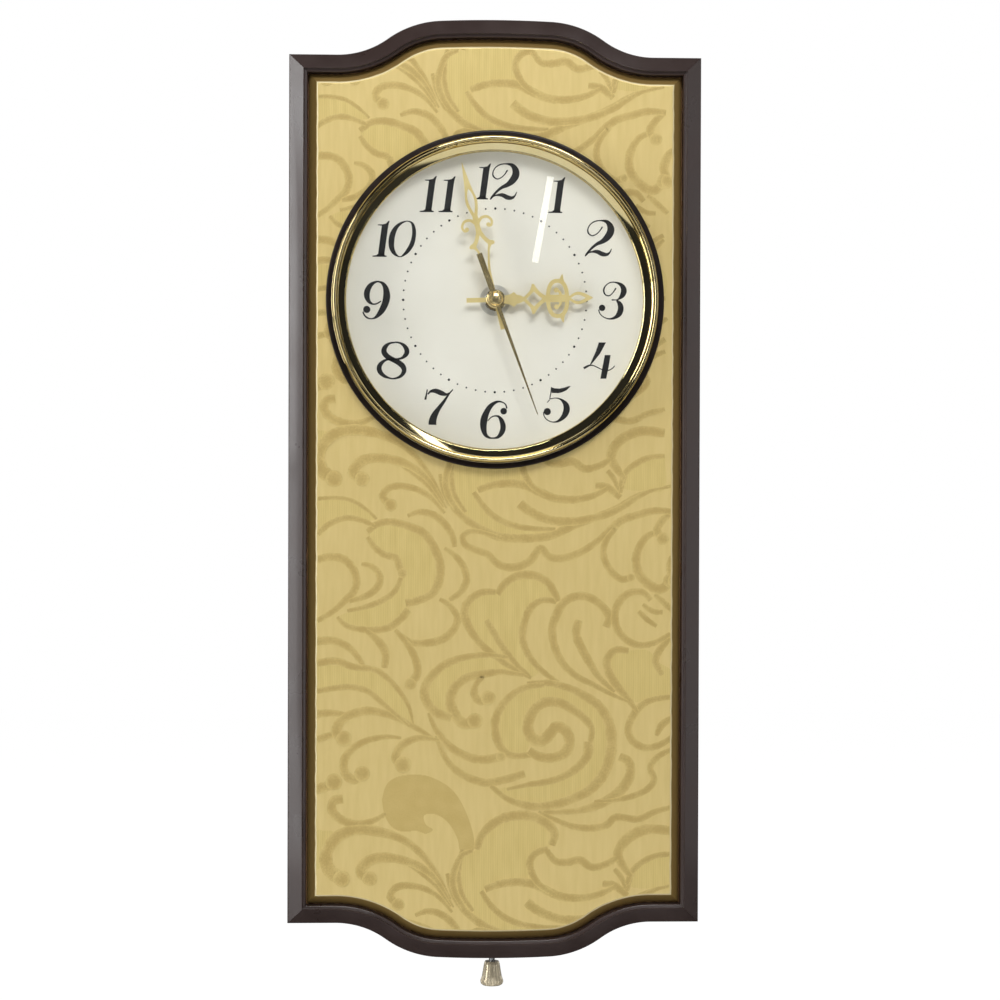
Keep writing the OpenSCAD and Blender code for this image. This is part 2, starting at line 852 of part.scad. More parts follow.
// Hands, drawn pointing up about their own centre
module mirrored() {
    children();
    mirror([1, 0])
        children();
}

// A shape that is the same on both sides, from the points of its right side
module blade(outline) {
    polygon(concat(outline, flip_x(outline)));
}

// Small fillets in the inner corners, as a stamping has
module stamped() {
    offset(r = -0.12, $fn = 8)
        offset(r = 0.12, $fn = 8)
            children();
}

hour_drawn = 48.7;
minute_drawn = 69.8;
hour_ring = [0, 31.1];
hour_ring_x = 9.8;
hour_ring_y = 5.8;
hour_band = 2;

function oval(c, rx, ry, steps) =
    [for (i = [0:steps - 1])
        let (a = 360 * i / steps, s = sign(sin(a)), q = sign(cos(a)))
        c + [rx * q * pow(abs(cos(a)), 0.85), ry * s * pow(abs(sin(a)), 0.85)]];

module hour_shape() {
    difference() {
        union() {
            circle(r = 3.9, $fn = 48);
            blade([[1.15, -14.4], [1.15, 0]]);
            blade(concat(
                [[1.15, 0]],
                smooth([[2.0, 4.6], [2.5, 7.2], [3.7, 9.2]], 3),
                smooth([[3.2, 9.9], [2.2, 10.9], [2.0, 12.2], [1.05, 14.2]], 3),
                [[3.9, 17.2]],
                smooth([[6.2, 18.1], [7.3, 18.3], [7.5, 19.1], [7.0, 19.8]], 2),
                smooth([[5.8, 20.4], [3.4, 22.4], [1.7, 24.8]], 3),
                [[1.7, 26.2]]
            ));
            difference() {
                polygon(oval(hour_ring, hour_ring_x, hour_ring_y, 48));
                polygon(oval(hour_ring, hour_ring_x - hour_band, hour_ring_y - hour_band, 48));
            }
            translate([-1.85, hour_ring[1] - hour_ring_y + 1])
                square([3.7, 2 * hour_ring_y - 2]);
            mirrored()
                translate([4.2, hour_ring[1] - 0.6])
                    circle(r = 1.2, $fn = 24);
            mirrored()
                polygon(strip(smooth([[1.4, 32.6], [2.8, 32.4], [4.2, 31.2]], 3), 1.6, 1));
            mirrored()
                polygon(concat(
                    smooth([[8.2, 31.8], [9.6, 32.2], [12.1, 33.6]], 3),
                    smooth([[12.0, 33.9], [9.0, 34.4], [7.4, 35.2]], 3)
                ));
            blade(concat(
                [[1.3, 35.6]],
                smooth([[1.2, 37.2], [2.6, 39.4], [3.1, 41.6], [2.4, 44.4], [0.2, 48.7]], 4)
            ));
        }
        blade([[0, 15.5], [3.7, 19.3], [0, 23.4]]);
        blade(smooth([[0, 37.8], [1.2, 39.6], [1.6, 41.4], [1.1, 43.2], [0, 45.2]], 3));
    }
}

module minute_shape() {
    difference() {
        union() {
            circle(r = 3.2, $fn = 48);
            blade([[1.1, -15.3], [1.0, 0]]);
            blade(concat(
                [[1.0, 0], [1.1, 12]],
                smooth([[1.15, 14], [1.8, 19], [3.3, 25.2]], 4),
                smooth([[4.6, 26.9], [6.0, 27.1], [6.5, 28.0], [5.7, 29.0]], 3),
                smooth([[4.4, 29.4], [2.9, 31.2], [1.5, 34.4]], 4),
                smooth([[1.25, 37], [1.5, 40.2], [1.3, 42.4]], 3),
                smooth([[2.3, 46], [2.95, 50.4], [1.7, 57.5], [0.15, 69.8]], 5)
            ));
            mirrored()
                polygon(strip(
                    smooth([[0.9, 39.2], [3.0, 41.1], [5.8, 41.0], [7.5, 38.8], [6.9, 36.5],
                        [5.3, 36.4]], 5), 1.5, 1.1));
            mirrored()
                translate([5.5, 37.0])
                    circle(r = 1.05, $fn = 24);
        }
        blade(smooth([[0, 14.2], [0.5, 18], [2.3, 25.6], [2.9, 27.6], [1.6, 29.6], [0, 32.8]], 3));
        blade(smooth([[0, 43.8], [1.0, 47], [1.6, 50.6], [1.2, 54], [0, 56.6]], 4));
    }
}

module hour_hand() {
    color(hand_gold)
        place()
            at_dial(hour_hand_d)
                rotate(-hour_angle)
                    difference() {
                        linear_extrude(hand_t)
                            scale(hour_len / hour_drawn)
                                stamped()
                                    hour_shape();
                        translate([0, 0, -1])
                            cylinder(h = hand_t + 2, r = hour_pipe_r + seat_fit, $fn = 48);
                    }
}

module minute_hand() {
    color(hand_gold)
        place()
            at_dial(minute_hand_d)
                rotate(-minute_angle)
                    difference() {
                        linear_extrude(hand_t)
                            scale(minute_len / minute_drawn)
                                stamped()
                                    minute_shape();
                        translate([0, 0, -1])
                            cylinder(h = hand_t + 2, r = minute_pipe_r + seat_fit, $fn = 48);
                    }
}

cap_d = second_hand_d - 0.5;
cap_h = 2.6;
seconds_arbor_top = second_hand_d + 1;

module second_hand() {
    color([0.55, 0.47, 0.30])
        place()
            at_dial(second_hand_d)
                rotate(-second_angle)
                    difference() {
                        union() {
                            linear_extrude(second_t)
                                polygon([
                                    [-1.43, -second_tail], [1.43, -second_tail], [1.43, 0],
                                    [1.0, 4], [0.22, second_len], [-0.22, second_len],
                                    [-1.0, 4], [-1.43, 0]
                                ]);
                            translate([0, 0, cap_d - second_hand_d])
                                rotate_extrude()
                                    polygon(concat(
                                        [[0, 0], [cap_r, 0], [cap_r, 0.7]],
                                        [[cap_r - 0.5, 0.95], [cap_r - 0.75, 0.95]],
                                        arc([0, 0.75], cap_r - 0.9, 85, 60, 2),
                                        [for (a = [50:-10:0])
                                            [(cap_r - 0.9) * sin(a),
                                                0.75 + (cap_h - 0.75) * cos(a)]]
                                    ));
                        }
                        translate([0, 0, cap_d - second_hand_d - 1])
                            cylinder(h = seconds_arbor_top - cap_d + 1,
                                r = seconds_arbor_r + seat_fit, $fn = 36);
                    }
}

// Movement plates
pillar_x = plate_x - 10;
pillar_y = plate_y - 5;

module at_pillars() {
    for (x = [-1, 1])
        for (y = [-1, 1])
            translate([x * pillar_x, dial_y + y * pillar_y, 0])
                children();
}

module plate_blank(d) {
    translate([-plate_x, dial_y - plate_y, d])
        cube([2 * plate_x, 2 * plate_y, plate_t]);
}

module hole(at, d, h, r) {
    at_arbor(at, d - 1)
        cylinder(h = h + 2, r = r, $fn = 32);
}

module front_plate() {
    color(brass)
        place()
            difference() {
                union() {
                    plate_blank(front_plate_d);
                    at_dial(front_plate_d)
                        cylinder(h = nut_d + 0.6 - front_plate_d, r = bush_r);
                }
                at_dial(front_plate_d - 1)
                    cylinder(h = nut_d + 3 - front_plate_d, r = bush_bore);
                hole(third_at, front_plate_d, plate_t, pivot_r + running);
                hole(index_at, front_plate_d, plate_t, pivot_r + running);
            }
}

module back_plate() {
    color(brass)
        place()
            difference() {
                plate_blank(movement_d);
                hole([0, 0], movement_d, plate_t, pivot_r + running);
                hole(third_at, movement_d, plate_t, pivot_r + running);
                hole(index_at, movement_d, plate_t, index_arbor_r + running);
                hole(balance_at, movement_d, plate_t, pivot_r + running);
                at_pillars()
                    translate([0, 0, movement_d - 1])
                        cylinder(h = plate_t + 2, r = 1.1, $fn = 24);
            }
}

module plate_pillars() {
    color(brass)
        place()
            at_pillars()
                difference() {
                    translate([0, 0, back_plate_d])
                        cylinder(h = train_gap, r = pillar_r, $fn = 36);
                    translate([0, 0, back_plate_d - 1])
                        cylinder(h = 7, r = 1.05, $fn = 24);
                }
}

module plate_screws() {
    color(steel)
        place()
            at_pillars()
                translate([0, 0, movement_d])
                    screw(2.2, 1.4, 1, 6);
}

module motion_post() {
    color(steel)
        place()
            at_arbor(motion_at, clip_d) {
                cylinder(h = front_plate_d - clip_d, r = arbor_r, $fn = 36);
                cylinder(h = clip_t, r = 2, $fn = 36);
            }
}

// Going train
module arbor(at, low, high, r) {
    at_arbor(at, low)
        cylinder(h = high - low, r = r, $fn = 36);
}

module seconds_wheel() {
    color(brass)
        place() {
            at_dial(seconds_wheel_d)
                difference() {
                    gear(seconds_wheel_n, index_m, seconds_wheel_turn, wheel_t);
                    spoke_holes(5, 9, 4, wheel_t);
                }
            at_dial(seconds_pinion_d)
                gear(seconds_pinion_n, third_m, seconds_pinion_turn, 2.7);
            arbor([0, 0], back_plate_d + 0.2, seconds_arbor_top, seconds_arbor_r);
            arbor([0, 0], movement_d + 0.3, back_plate_d + 0.3, pivot_r);
        }
}

module third_wheel() {
    color(brass)
        place() {
            at_arbor(third_at, third_wheel_d)
                difference() {
                    gear(third_wheel_n, third_m, third_wheel_turn, wheel_t);
                    spoke_holes(5, 9, 4, wheel_t);
                }
            at_arbor(third_at, third_pinion_d)
                gear(third_pinion_n, centre_m, third_pinion_turn, 2.4);
            arbor(third_at, back_plate_d + 0.2, front_plate_d - 0.2, arbor_r);
            arbor(third_at, movement_d + 0.3, front_plate_d + plate_t - 0.3, pivot_r);
        }
}

module centre_wheel() {
    color(brass)
        place()
            difference() {
                union() {
                    at_dial(centre_wheel_d)
                        difference() {
                            gear(centre_wheel_n, centre_m, centre_wheel_turn, wheel_t);
                            spoke_holes(5, 9, 4, wheel_t);
                        }
                    at_dial(cannon_d)
                        gear(cannon_n, motion_m, cannon_turn, hour_wheel_d - 0.7 - cannon_d);
                    arbor([0, 0], centre_wheel_d, minute_hand_d + hand_t + 0.4, minute_pipe_r);
                }
                at_dial(centre_wheel_d - 1)
                    cylinder(h = minute_hand_d - centre_wheel_d + 4, r = minute_bore, $fn = 36);
            }
}

module minute_wheel() {
    color(brass)
        place()
            difference() {
                union() {
                    at_arbor(motion_at, minute_wheel_d)
                        gear(minute_wheel_n, motion_m, minute_wheel_turn, wheel_t);
                    at_arbor(motion_at, minute_wheel_d)
                        gear(minute_pinion_n, hour_m, minute_pinion_turn,
                            front_plate_d - 1.2 - minute_wheel_d);
                    at_arbor(motion_at, 0)
                        rotate_extrude()
                            polygon([
                                [0, clip_d + clip_t + 0.2], [2, clip_d + clip_t + 0.2],
                                [2, minute_wheel_d - 0.6],
                                [cone_inner - 0.6, flange_d - cone_slope * (cone_touch - cone_inner + 0.6)],
                                [cone_touch, flange_d], [cone_touch, minute_wheel_d + 0.1],
                                [0, minute_wheel_d + 0.1]
                            ]);
                }
                at_arbor(motion_at, clip_d)
                    cylinder(h = front_plate_d - clip_d, r = arbor_r + running, $fn = 36);
            }
}

module hour_wheel() {
    color(brass)
        place()
            difference() {
                union() {
                    at_dial(hour_wheel_d)
                        gear(hour_wheel_n, hour_m, hour_wheel_turn, wheel_t);
                    arbor([0, 0], hour_wheel_d, hour_hand_d + hand_t + 0.4, hour_pipe_r);
                }
                at_dial(hour_wheel_d - 1)
                    cylinder(h = hour_hand_d - hour_wheel_d + 4, r = hour_bore, $fn = 36);
            }
}

module index_wheel() {
    pitch = 360 / index_teeth;
    color(brass)
        place() {
            at_arbor(index_at, star_d)
                linear_extrude(wheel_t)
                    polygon([for (i = [0:index_teeth - 1])
                        for (corner = [[index_star_r - 1.6, 0], [index_star_r, 0.3],
                                [index_star_r, 0.45]])
                            let (a = balance_dir + pitch * (i + corner[1]))
                            corner[0] * [cos(a), sin(a)]]);
            at_arbor(index_at, back_plate_d + 0.7)
                gear(index_pinion_n, index_m, index_pinion_turn, 2.6);
            arbor(index_at, star_d - 0.4, front_plate_d - 0.2, index_arbor_r);
            arbor(index_at, front_plate_d - 0.3, front_plate_d + plate_t - 0.3, pivot_r);
        }
}

// Balance, its cock and its hairspring
collet_r = 1.3;

module disc(d) {
    at_arbor(balance_at, d)
        difference() {
            cylinder(h = disc_t, r = balance_r);
            for (a = [coil_dir + 60:60:coil_dir + 120])
                for (turn = [a, a + 180])
                    rotate(turn)
                        translate([coil_reach - 0.3, 0, -1])
                            cylinder(h = disc_t + 2, r = 2.9, $fn = 36);
        }
}

module balance_wheel() {
    color(brass)
        place() {
            disc(front_disc_d);
            disc(rear_disc_d);
            arbor(balance_at, cock_front_d + 0.2, movement_d - 0.2, arbor_r);
            arbor(balance_at, cock_d + 0.5, movement_d + plate_t - 0.3, pivot_r);
            arbor(balance_at, hairspring_d - 0.1, hairspring_d + hairspring_h + 0.1, collet_r);
            at_arbor(balance_at, star_d)
                rotate(balance_dir + 180)
                    translate([0, -0.35, 0])
                        cube([finger_reach, 0.7, wheel_t]);
            arbor(balance_at, star_d, star_d + wheel_t, 1.5);
        }
}

module balance_magnets() {
    color([0.30, 0.30, 0.32])
        place()
            for (d = [front_disc_d - magnet_t, rear_disc_d + disc_t])
                for (a = [coil_dir, coil_dir + 180])
                    at_arbor(balance_at, d)
                        rotate(a)
                            translate([coil_reach, 0, 0])
                                cylinder(h = magnet_t, r = magnet_r, $fn = 36);
}

cock_foot_w = 7;
cock_foot_x = balance_at[0] - balance_r - 1 - cock_foot_w / 2;
cock_half = 4.5;
cock_screw_spots = [[cock_foot_x, balance_at[1] - 2.6], [cock_foot_x, balance_at[1] + 2.6]];
stud_r = 0.5;
stud_at = balance_at + (hairspring_r + 0.3 + stud_r) * [1, 0];

module balance_cock() {
    color(brass)
        place()
            difference() {
                union() {
                    translate([cock_foot_x - cock_foot_w / 2, dial_y + balance_at[1] - cock_half,
                            cock_front_d])
                        cube([cock_foot_w, 2 * cock_half, movement_d - cock_front_d]);
                    translate([cock_foot_x - cock_foot_w / 2, dial_y + balance_at[1] - cock_half,
                            cock_d])
                        cube([balance_at[0] - cock_foot_x + cock_foot_w / 2, 2 * cock_half, cock_t]);
                    at_arbor(balance_at, cock_d)
                        cylinder(h = cock_t, r = hairspring_r + 2, $fn = 64);
                    at_arbor(balance_at, cock_d - lever_t - 0.1)
                        cylinder(h = lever_t + 0.2, r = lever_bore - running, $fn = 48);
                    at_arbor(stud_at, cock_front_d - 0.1)
                        cylinder(h = hairspring_d + hairspring_h - cock_front_d + 0.1, r = stud_r,
                            $fn = 24);
                }
                at_arbor(balance_at, cock_d + 0.3)
                    cylinder(h = cock_t + 1, r = pivot_r + running, $fn = 32);
                for (p = cock_screw_spots)
                    at_arbor(p, cock_d - 1)
                        cylinder(h = 6, r = 1.05, $fn = 24);
            }
}

module cock_screws() {
    color(steel)
        place()
            for (p = cock_screw_spots)
                at_arbor(p, cock_d)
                    screw(1.7, 1.1, 1, 4.4);
}

hairspring_steps = 24;
hairspring_w = 0.25;

function hairspring_path() =
    let (inner = collet_r + 0.3, count = hairspring_steps * hairspring_turns)
    [for (i = [0:count])
        let (a = 360 * i / hairspring_steps)
        (inner + (hairspring_r + 0.15 - inner) * i / count) * [cos(a), sin(a)]];

echo(hairspring_gap = least_gap(hairspring_path(), hairspring_steps / 2, hairspring_w));

module hairspring() {
    color([0.35, 0.40, 0.55])
        place()
            at_arbor(balance_at, hairspring_d)
                linear_extrude(hairspring_h)
                    polygon(strip(hairspring_path(), hairspring_w, hairspring_w));
}

lever_bore = 2.3;

module regulator() {
    color(steel)
        place()
            difference() {
                union() {
                    arbor(balance_at, cock_d - lever_t, cock_d, lever_bore + 1.4);
                    at_arbor(balance_at, cock_d - lever_t)
                        linear_extrude(lever_t)
                            polygon([[2.2, -1], [13.5, -0.6], [15, 0], [13.5, 0.6], [2.2, 1]]);
                }
                hole(balance_at, cock_d - lever_t, lever_t, lever_bore);
            }
}

// Drive coil and circuit
coil_core_r = 1.8;
coil_wall = 0.35;

module coil_bobbin() {
    color([0.75, 0.30, 0.20])
        place() {
            at_arbor(coil_at, coil_d)
                cylinder(h = coil_wall, r = coil_r, $fn = 48);
            at_arbor(coil_at, coil_d + coil_t - coil_wall)
                cylinder(h = coil_wall, r = coil_r, $fn = 48);
            at_arbor(coil_at, coil_d)
                cylinder(h = coil_t, r = coil_core_r, $fn = 36);
            translate([coil_at[0] - 9, dial_y + coil_at[1] + 2.4, coil_d])
                difference() {
                    cube([10, 12, coil_t]);
                    translate([9, -2.4, -1])
                        cylinder(h = coil_t + 2, r = coil_r + 0.2, $fn = 48);
                }
            translate([coil_at[0] - coil_r - 1.6, dial_y + coil_at[1] + 2.4, coil_d])
                cube([coil_r, 1.7, coil_wall]);
        }
}

module coil_winding() {
    color([0.72, 0.40, 0.22])
        place()
            at_arbor(coil_at, coil_d + coil_wall)
                difference() {
                    cylinder(h = coil_t - 2 * coil_wall, r = coil_r - 0.5, $fn = 48);
                    translate([0, 0, -1])
                        cylinder(h = coil_t + 2, r = coil_core_r + 0.02, $fn = 36);
                }
}

pcb_x = [-31, 9];
pcb_y = [-1.5, 30.5];
spacer_spots = [[-27, 26], [-27, 3], [4, 26]];

module circuit_board() {
    color([0.55, 0.38, 0.18])
        place()
            difference() {
                translate([pcb_x[0], dial_y + pcb_y[0], pcb_d])
                    cube([pcb_x[1] - pcb_x[0], pcb_y[1] - pcb_y[0], pcb_t]);
                for (p = spacer_spots)
                    hole(p, pcb_d, pcb_t, 1.1);
            }
}

module board_spacers() {
    color(brass)
        place()
            for (p = spacer_spots) {
                arbor(p, pcb_d + pcb_t, movement_d, 2);
                arbor(p, pcb_d - 1, pcb_d + pcb_t + 0.1, 1.05);
                arbor(p, pcb_d - 1.4, pcb_d, 1.9);
            }
}

module transistor() {
    color([0.62, 0.63, 0.65])
        place()
            at_arbor([-16, 18], 0)
                rotate_extrude($fn = 64)
                    polygon([
                        [0, pcb_d], [3.6, pcb_d], [4.4, pcb_d - 0.4], [4.4, pcb_d - 0.9],
                        [3.8, pcb_d - 1.1], [3.8, pcb_d - 5.6], [3.4, pcb_d - 6], [0, pcb_d - 6]
                    ]);
}

module lying(at, length, r, r_lead) {
    at_arbor(at, pcb_d - r - 0.1) {
        rotate([0, 90, 0])
            cylinder(h = length, r = r, center = true, $fn = 40);
        rotate([0, 90, 0])
            cylinder(h = length + 4, r = r_lead, center = true, $fn = 20);
        for (x = [-1, 1])
            translate([x * (length / 2 + 2 - r_lead), 0, 0])
                cylinder(h = r + 0.1, r = r_lead, $fn = 20);
    }
}

module capacitor() {
    color([0.20, 0.32, 0.55])
        place()
            lying([-2, 16], 12, 3.2, 0.35);
}

module resistors() {
    color([0.60, 0.45, 0.28])
        place() {
            lying([-16, 8], 7, 1.1, 0.3);
            lying([-3, 8], 7, 1.1, 0.3);
        }
}

// Clear dust cover over the balance and the circuit
lead_slots = [-20, 4];

module dust_cover() {
    height = movement_d - cover_d;
    color([0.85, 0.88, 0.90, 0.4])
        place()
            difference() {
                translate([-cover_x, dial_y - cover_y, cover_d])
                    cube([2 * cover_x, 2 * cover_y, height]);
                translate([cover_wall - cover_x, dial_y + cover_wall - cover_y, cover_d + cover_wall])
                    cube([2 * (cover_x - cover_wall), 2 * (cover_y - cover_wall), height]);
                for (x = lead_slots)
                    translate([x - 1.5, dial_y + cover_y - cover_wall - 1, movement_d - 4])
                        cube([3, cover_wall + 2, 5]);
            }
}

// Battery and its tray
tray_x = battery_l / 2 + 8;
tray_r = battery_r + battery_fit;
nub_l = 1.5;
nub_r = 4.5;

module at_battery(x = 0) {
    translate([x, dial_y + battery_up, battery_d])
        children();
}

module battery_tray() {
    half = tray_r + tray_wall;
    color([0.16, 0.16, 0.17])
        place()
            difference() {
                at_battery()
                    translate([-tray_x, -half, 0])
                        cube([2 * tray_x, 2 * half, board_back_d - battery_d]);
                at_battery()
                    rotate([0, 90, 0])
                        cylinder(h = 2 * (tray_x - tray_wall), r = tray_r, center = true);
                at_battery()
                    translate([-tray_x + tray_wall, -tray_r, -1])
                        cube([2 * (tray_x - tray_wall), 2 * tray_r, 1]);
            }
}

module battery() {
    color([0.55, 0.16, 0.13])
        place()
            at_battery()
                rotate([0, 90, 0]) {
                    cylinder(h = battery_l, r = battery_r, center = true);
                    cylinder(h = battery_l / 2 + nub_l, r = nub_r, $fn = 48);
                }
}

terminal_t = 0.5;
terminal_half = 6;

module battery_terminal() {
    inner = tray_x - tray_wall;
    color(steel)
        place() {
            translate([inner - terminal_t, dial_y + battery_up - terminal_half, battery_d])
                cube([terminal_t, 2 * terminal_half, terminal_half]);
            translate([-inner, dial_y + battery_up - terminal_half, battery_d])
                cube([terminal_t, 2 * terminal_half, terminal_half]);
            translate([battery_l / 2 + nub_l + 0.1, dial_y + battery_up - 3, battery_d - 1])
                cube([terminal_t, 6, 5]);
            translate([battery_l / 2 + nub_l + 0.1, dial_y + battery_up - 3, battery_d + 3.5])
                cube([inner - battery_l / 2 - nub_l - 0.2, 6, terminal_t]);
        }
}

contact_turns = 3;
contact_r = 3.4;
contact_wire_r = 0.4;
spring_steps = 8;

function contact_path() =
    let (left = -(tray_x - tray_wall - terminal_t), right = -battery_l / 2 - 0.1,
        length = right - left - 2 * contact_wire_r, count = spring_steps * contact_turns)
    [for (i = [0:count])
        let (a = 360 * i / spring_steps)
        [left + contact_wire_r + length * i / count, contact_r * cos(a),
            contact_r * sin(a)]];

echo(contact_spring_gap = least_gap(contact_path(), spring_steps / 2, 2 * contact_wire_r));

module battery_spring() {
    color(steel)
        place()
            at_battery()
                tube(contact_path(), contact_wire_r, 6, [1, 0, 0]);
}

// Routes of the leads: aside and up from the dial's centre, then behind the mounting board
lead_route_positive = [
    [35.9, 57, 21.3], [36.3, 56.4, 21.9], [37.6, 53, 22.4], [38.2, 47, 22.7],
    [37, 42, 23.1], [32, 39.2, 23.4], [22, 38.6, 23.5], [12, 38.6, 23.6],
    [5.4, 38.2, 23.6], [4, 36, 23.8], [4, 32, 24.4], [4, 30.4, 25.8], [4, 29.8, 27]
];
lead_route_negative = [
    [-35.9, 57, 21.3], [-36.3, 56.4, 21.9], [-37.6, 53, 22.4], [-38.2, 47, 22.7],
    [-37, 42, 23.1], [-32, 39.2, 23.4], [-26, 38.6, 23.5], [-21.6, 38.2, 23.6],
    [-20, 36, 23.8], [-20, 32, 24.4], [-20, 30.4, 25.8], [-20, 29.8, 27]
];

module lead(route) {
    place()
        translate([0, dial_y, board_back_d])
            tube([for (p = smooth(route, 2)) [p[0], p[1], -p[2]]], lead_dia / 2, 8,
                [0.3, 0.2, 1]);
}

module lead_positive() {
    color([0.75, 0.12, 0.10])
        lead(lead_route_positive);
}

module lead_negative() {
    color([0.10, 0.10, 0.11])
        lead(lead_route_negative);
}

// Hand setting: a rod from the knob under the case up to the minute wheel's flange
bush_out_r = rod_r + 1.5;
bush_flange_r = bush_out_r + 1.6;
bush_flange_t = 0.6;

module on_rod(y) {
    translate([0, y, rod_d])
        rotate([-90, 0, 0])
            children();
}

module setting_rod() {
    color(brass)
        place() {
            on_rod(knob_top_y - rod_in_knob)
                cylinder(h = cone_base_y - knob_top_y + rod_in_knob, r = rod_r, $fn = 48);
            on_rod(washer_y - setting_washer_t - rod_flange_t)
                cylinder(h = rod_flange_t, r = spring_r + 0.4);
        }
}

module setting_cone() {
    color([0.13, 0.13, 0.13])
        place()
            on_rod(cone_base_y - cone_skirt)
                difference() {
                    rotate_extrude()
                        polygon([
                            [0, 0], [cone_slope * cone_touch, 0],
                            [cone_slope * cone_touch, cone_skirt],
                            [cone_slope * cone_inner, cone_skirt + cone_touch - cone_inner],
                            [0, cone_skirt + cone_touch - cone_inner]
                        ]);
                    translate([0, 0, -1])
                        cylinder(h = cone_skirt + 1, r = rod_r + seat_fit, $fn = 48);
                }
}

flutes = 12;

module setting_knob() {
    color(gold)
        place()
            on_rod(knob_top_y - knob_l)
                difference() {
                    rotate_extrude()
                        polygon(concat(
                            [[0, 0], [knob_r - 1.2, 0], [knob_r - 0.4, 0.6], [knob_r, 1.8],
                                [knob_r - 0.3, 3]],
                            smooth([[knob_r - 0.9, 4.6], [knob_top_r + 0.5, knob_l - 4.4],
                                [knob_top_r, knob_l - 1.2]], 3),
                            [[knob_top_r - 0.4, knob_l], [0, knob_l]]
                        ));
                    translate([0, 0, knob_l - rod_in_knob])
                        cylinder(h = rod_in_knob + 1, r = rod_r + seat_fit, $fn = 48);
                    for (i = [0:flutes - 1])
                        rotate(360 * i / flutes)
                            translate([knob_r + 0.35, 0, -1])
                                cylinder(h = 4.4, r = 0.8, $fn = 24);
                }
}

module setting_washer() {
    color(steel)
        place()
            on_rod(washer_y - setting_washer_t)
                difference() {
                    cylinder(h = setting_washer_t, r = spring_r + 1);
                    translate([0, 0, -1])
                        cylinder(h = setting_washer_t + 2, r = rod_r + running, $fn = 48);
                }
}

function spring_path() =
    let (count = spring_steps * spring_turns, rise = spring_l - 2 * wire_r - 0.1)
    [for (i = [0:count])
        let (a = 360 * i / spring_steps)
        [spring_r * cos(a), spring_r * sin(a), wire_r + 0.05 + rise * i / count]];

echo(setting_spring_gap = least_gap(spring_path(), spring_steps / 2, 2 * wire_r));

module setting_spring() {
    color(steel)
        place()
            on_rod(washer_y)
                tube(spring_path(), wire_r, 6, [0, 0, 1]);
}

module rod_guides() {
    color([0.86, 0.84, 0.78])
        place()
            for (y = [guide_high_y, guide_low_y])
                difference() {
                    translate([-guide_w / 2, y - guide_half, rod_d - guide_back])
                        cube([guide_w, 2 * guide_half, board_back_d - rod_d + guide_back]);
                    on_rod(y - guide_half - 1)
                        cylinder(h = 2 * guide_half + 2, r = rod_r + running, $fn = 48);
                }
}

module rod_bush() {
    color(brass)
        place()
            difference() {
                union() {
                    on_rod(bottom_y)
                        cylinder(h = wall_t + 2, r = bush_out_r);
                    on_rod(bottom_y - bush_flange_t)
                        cylinder(h = bush_flange_t, r = bush_flange_r);
                }
                on_rod(bottom_y - bush_flange_t - 1)
                    cylinder(h = wall_t + bush_flange_t + 4, r = rod_r + running, $fn = 48);
            }
}

frame_left_stile();
frame_right_stile();
frame_top_rail();
frame_bottom_rail();
corner_blocks();
front_panel();
mounting_board();
back_board();
back_screws();
hanger_plate();
hanger_rivets();
bezel_base_ring();
bezel();
bezel_tabs();
inner_ring();
glass();
dial();
dial_washer();
dial_nut();
hour_hand();
minute_hand();
second_hand();
front_plate();
back_plate();
plate_pillars();
plate_screws();
motion_post();
seconds_wheel();
third_wheel();
centre_wheel();
minute_wheel();
hour_wheel();
index_wheel();
balance_wheel();
balance_magnets();
balance_cock();
cock_screws();
hairspring();
regulator();
coil_bobbin();
coil_winding();
circuit_board();
board_spacers();
transistor();
capacitor();
resistors();
dust_cover();
battery_tray();
battery();
battery_terminal();
battery_spring();
lead_positive();
lead_negative();
setting_rod();
setting_cone();
setting_knob();
setting_washer();
setting_spring();
rod_guides();
rod_bush();
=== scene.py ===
"""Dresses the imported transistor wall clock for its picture.

Sizes are in millimetres on the clock's own axes: x to the right, up from the hanger's
round hole, and d, the distance out of the wall. at() turns them into metres.
"""

import json
import logging
import math
from collections.abc import Callable, Iterable, Sequence
from dataclasses import dataclass, field
from enum import Enum
from functools import cached_property

import bmesh
import bpy
from mathutils import Matrix, Vector


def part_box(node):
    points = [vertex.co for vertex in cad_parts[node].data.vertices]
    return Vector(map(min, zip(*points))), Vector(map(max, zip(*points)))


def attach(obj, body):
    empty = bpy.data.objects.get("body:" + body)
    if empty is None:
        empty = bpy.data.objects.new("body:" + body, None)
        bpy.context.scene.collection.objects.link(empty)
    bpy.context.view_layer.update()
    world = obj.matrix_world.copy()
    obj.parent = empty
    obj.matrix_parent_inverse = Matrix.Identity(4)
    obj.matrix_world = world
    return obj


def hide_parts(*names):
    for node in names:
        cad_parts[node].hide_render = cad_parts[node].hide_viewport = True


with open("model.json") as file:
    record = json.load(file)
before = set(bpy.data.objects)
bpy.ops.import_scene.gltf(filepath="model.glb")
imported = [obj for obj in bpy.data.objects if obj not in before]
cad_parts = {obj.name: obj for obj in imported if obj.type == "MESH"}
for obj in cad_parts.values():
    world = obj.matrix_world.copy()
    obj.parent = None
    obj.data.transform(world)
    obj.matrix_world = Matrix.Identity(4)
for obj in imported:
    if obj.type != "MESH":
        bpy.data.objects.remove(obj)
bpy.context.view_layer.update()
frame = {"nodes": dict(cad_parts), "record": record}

log = logging.getLogger("clock")

MM = 0.001
Point = tuple[float, float]
Corner = tuple[float, float, float]
Colour = tuple[float, float, float]
Piece = bpy.types.Object
Socket = bpy.types.NodeSocket
Value = Socket | float

# Height of the dial's centre, and distance of the board, the cloth and the dial.
DIAL_UP = -111.8
BOARD_D = 49.0
PANEL_D = 55.0
DIAL_D = 49.6
# Radius that stands for none, so that a turned piece has no corners in one place.
AXIS_R = 1e-5
WHITE: Colour = (1.0, 1.0, 1.0)


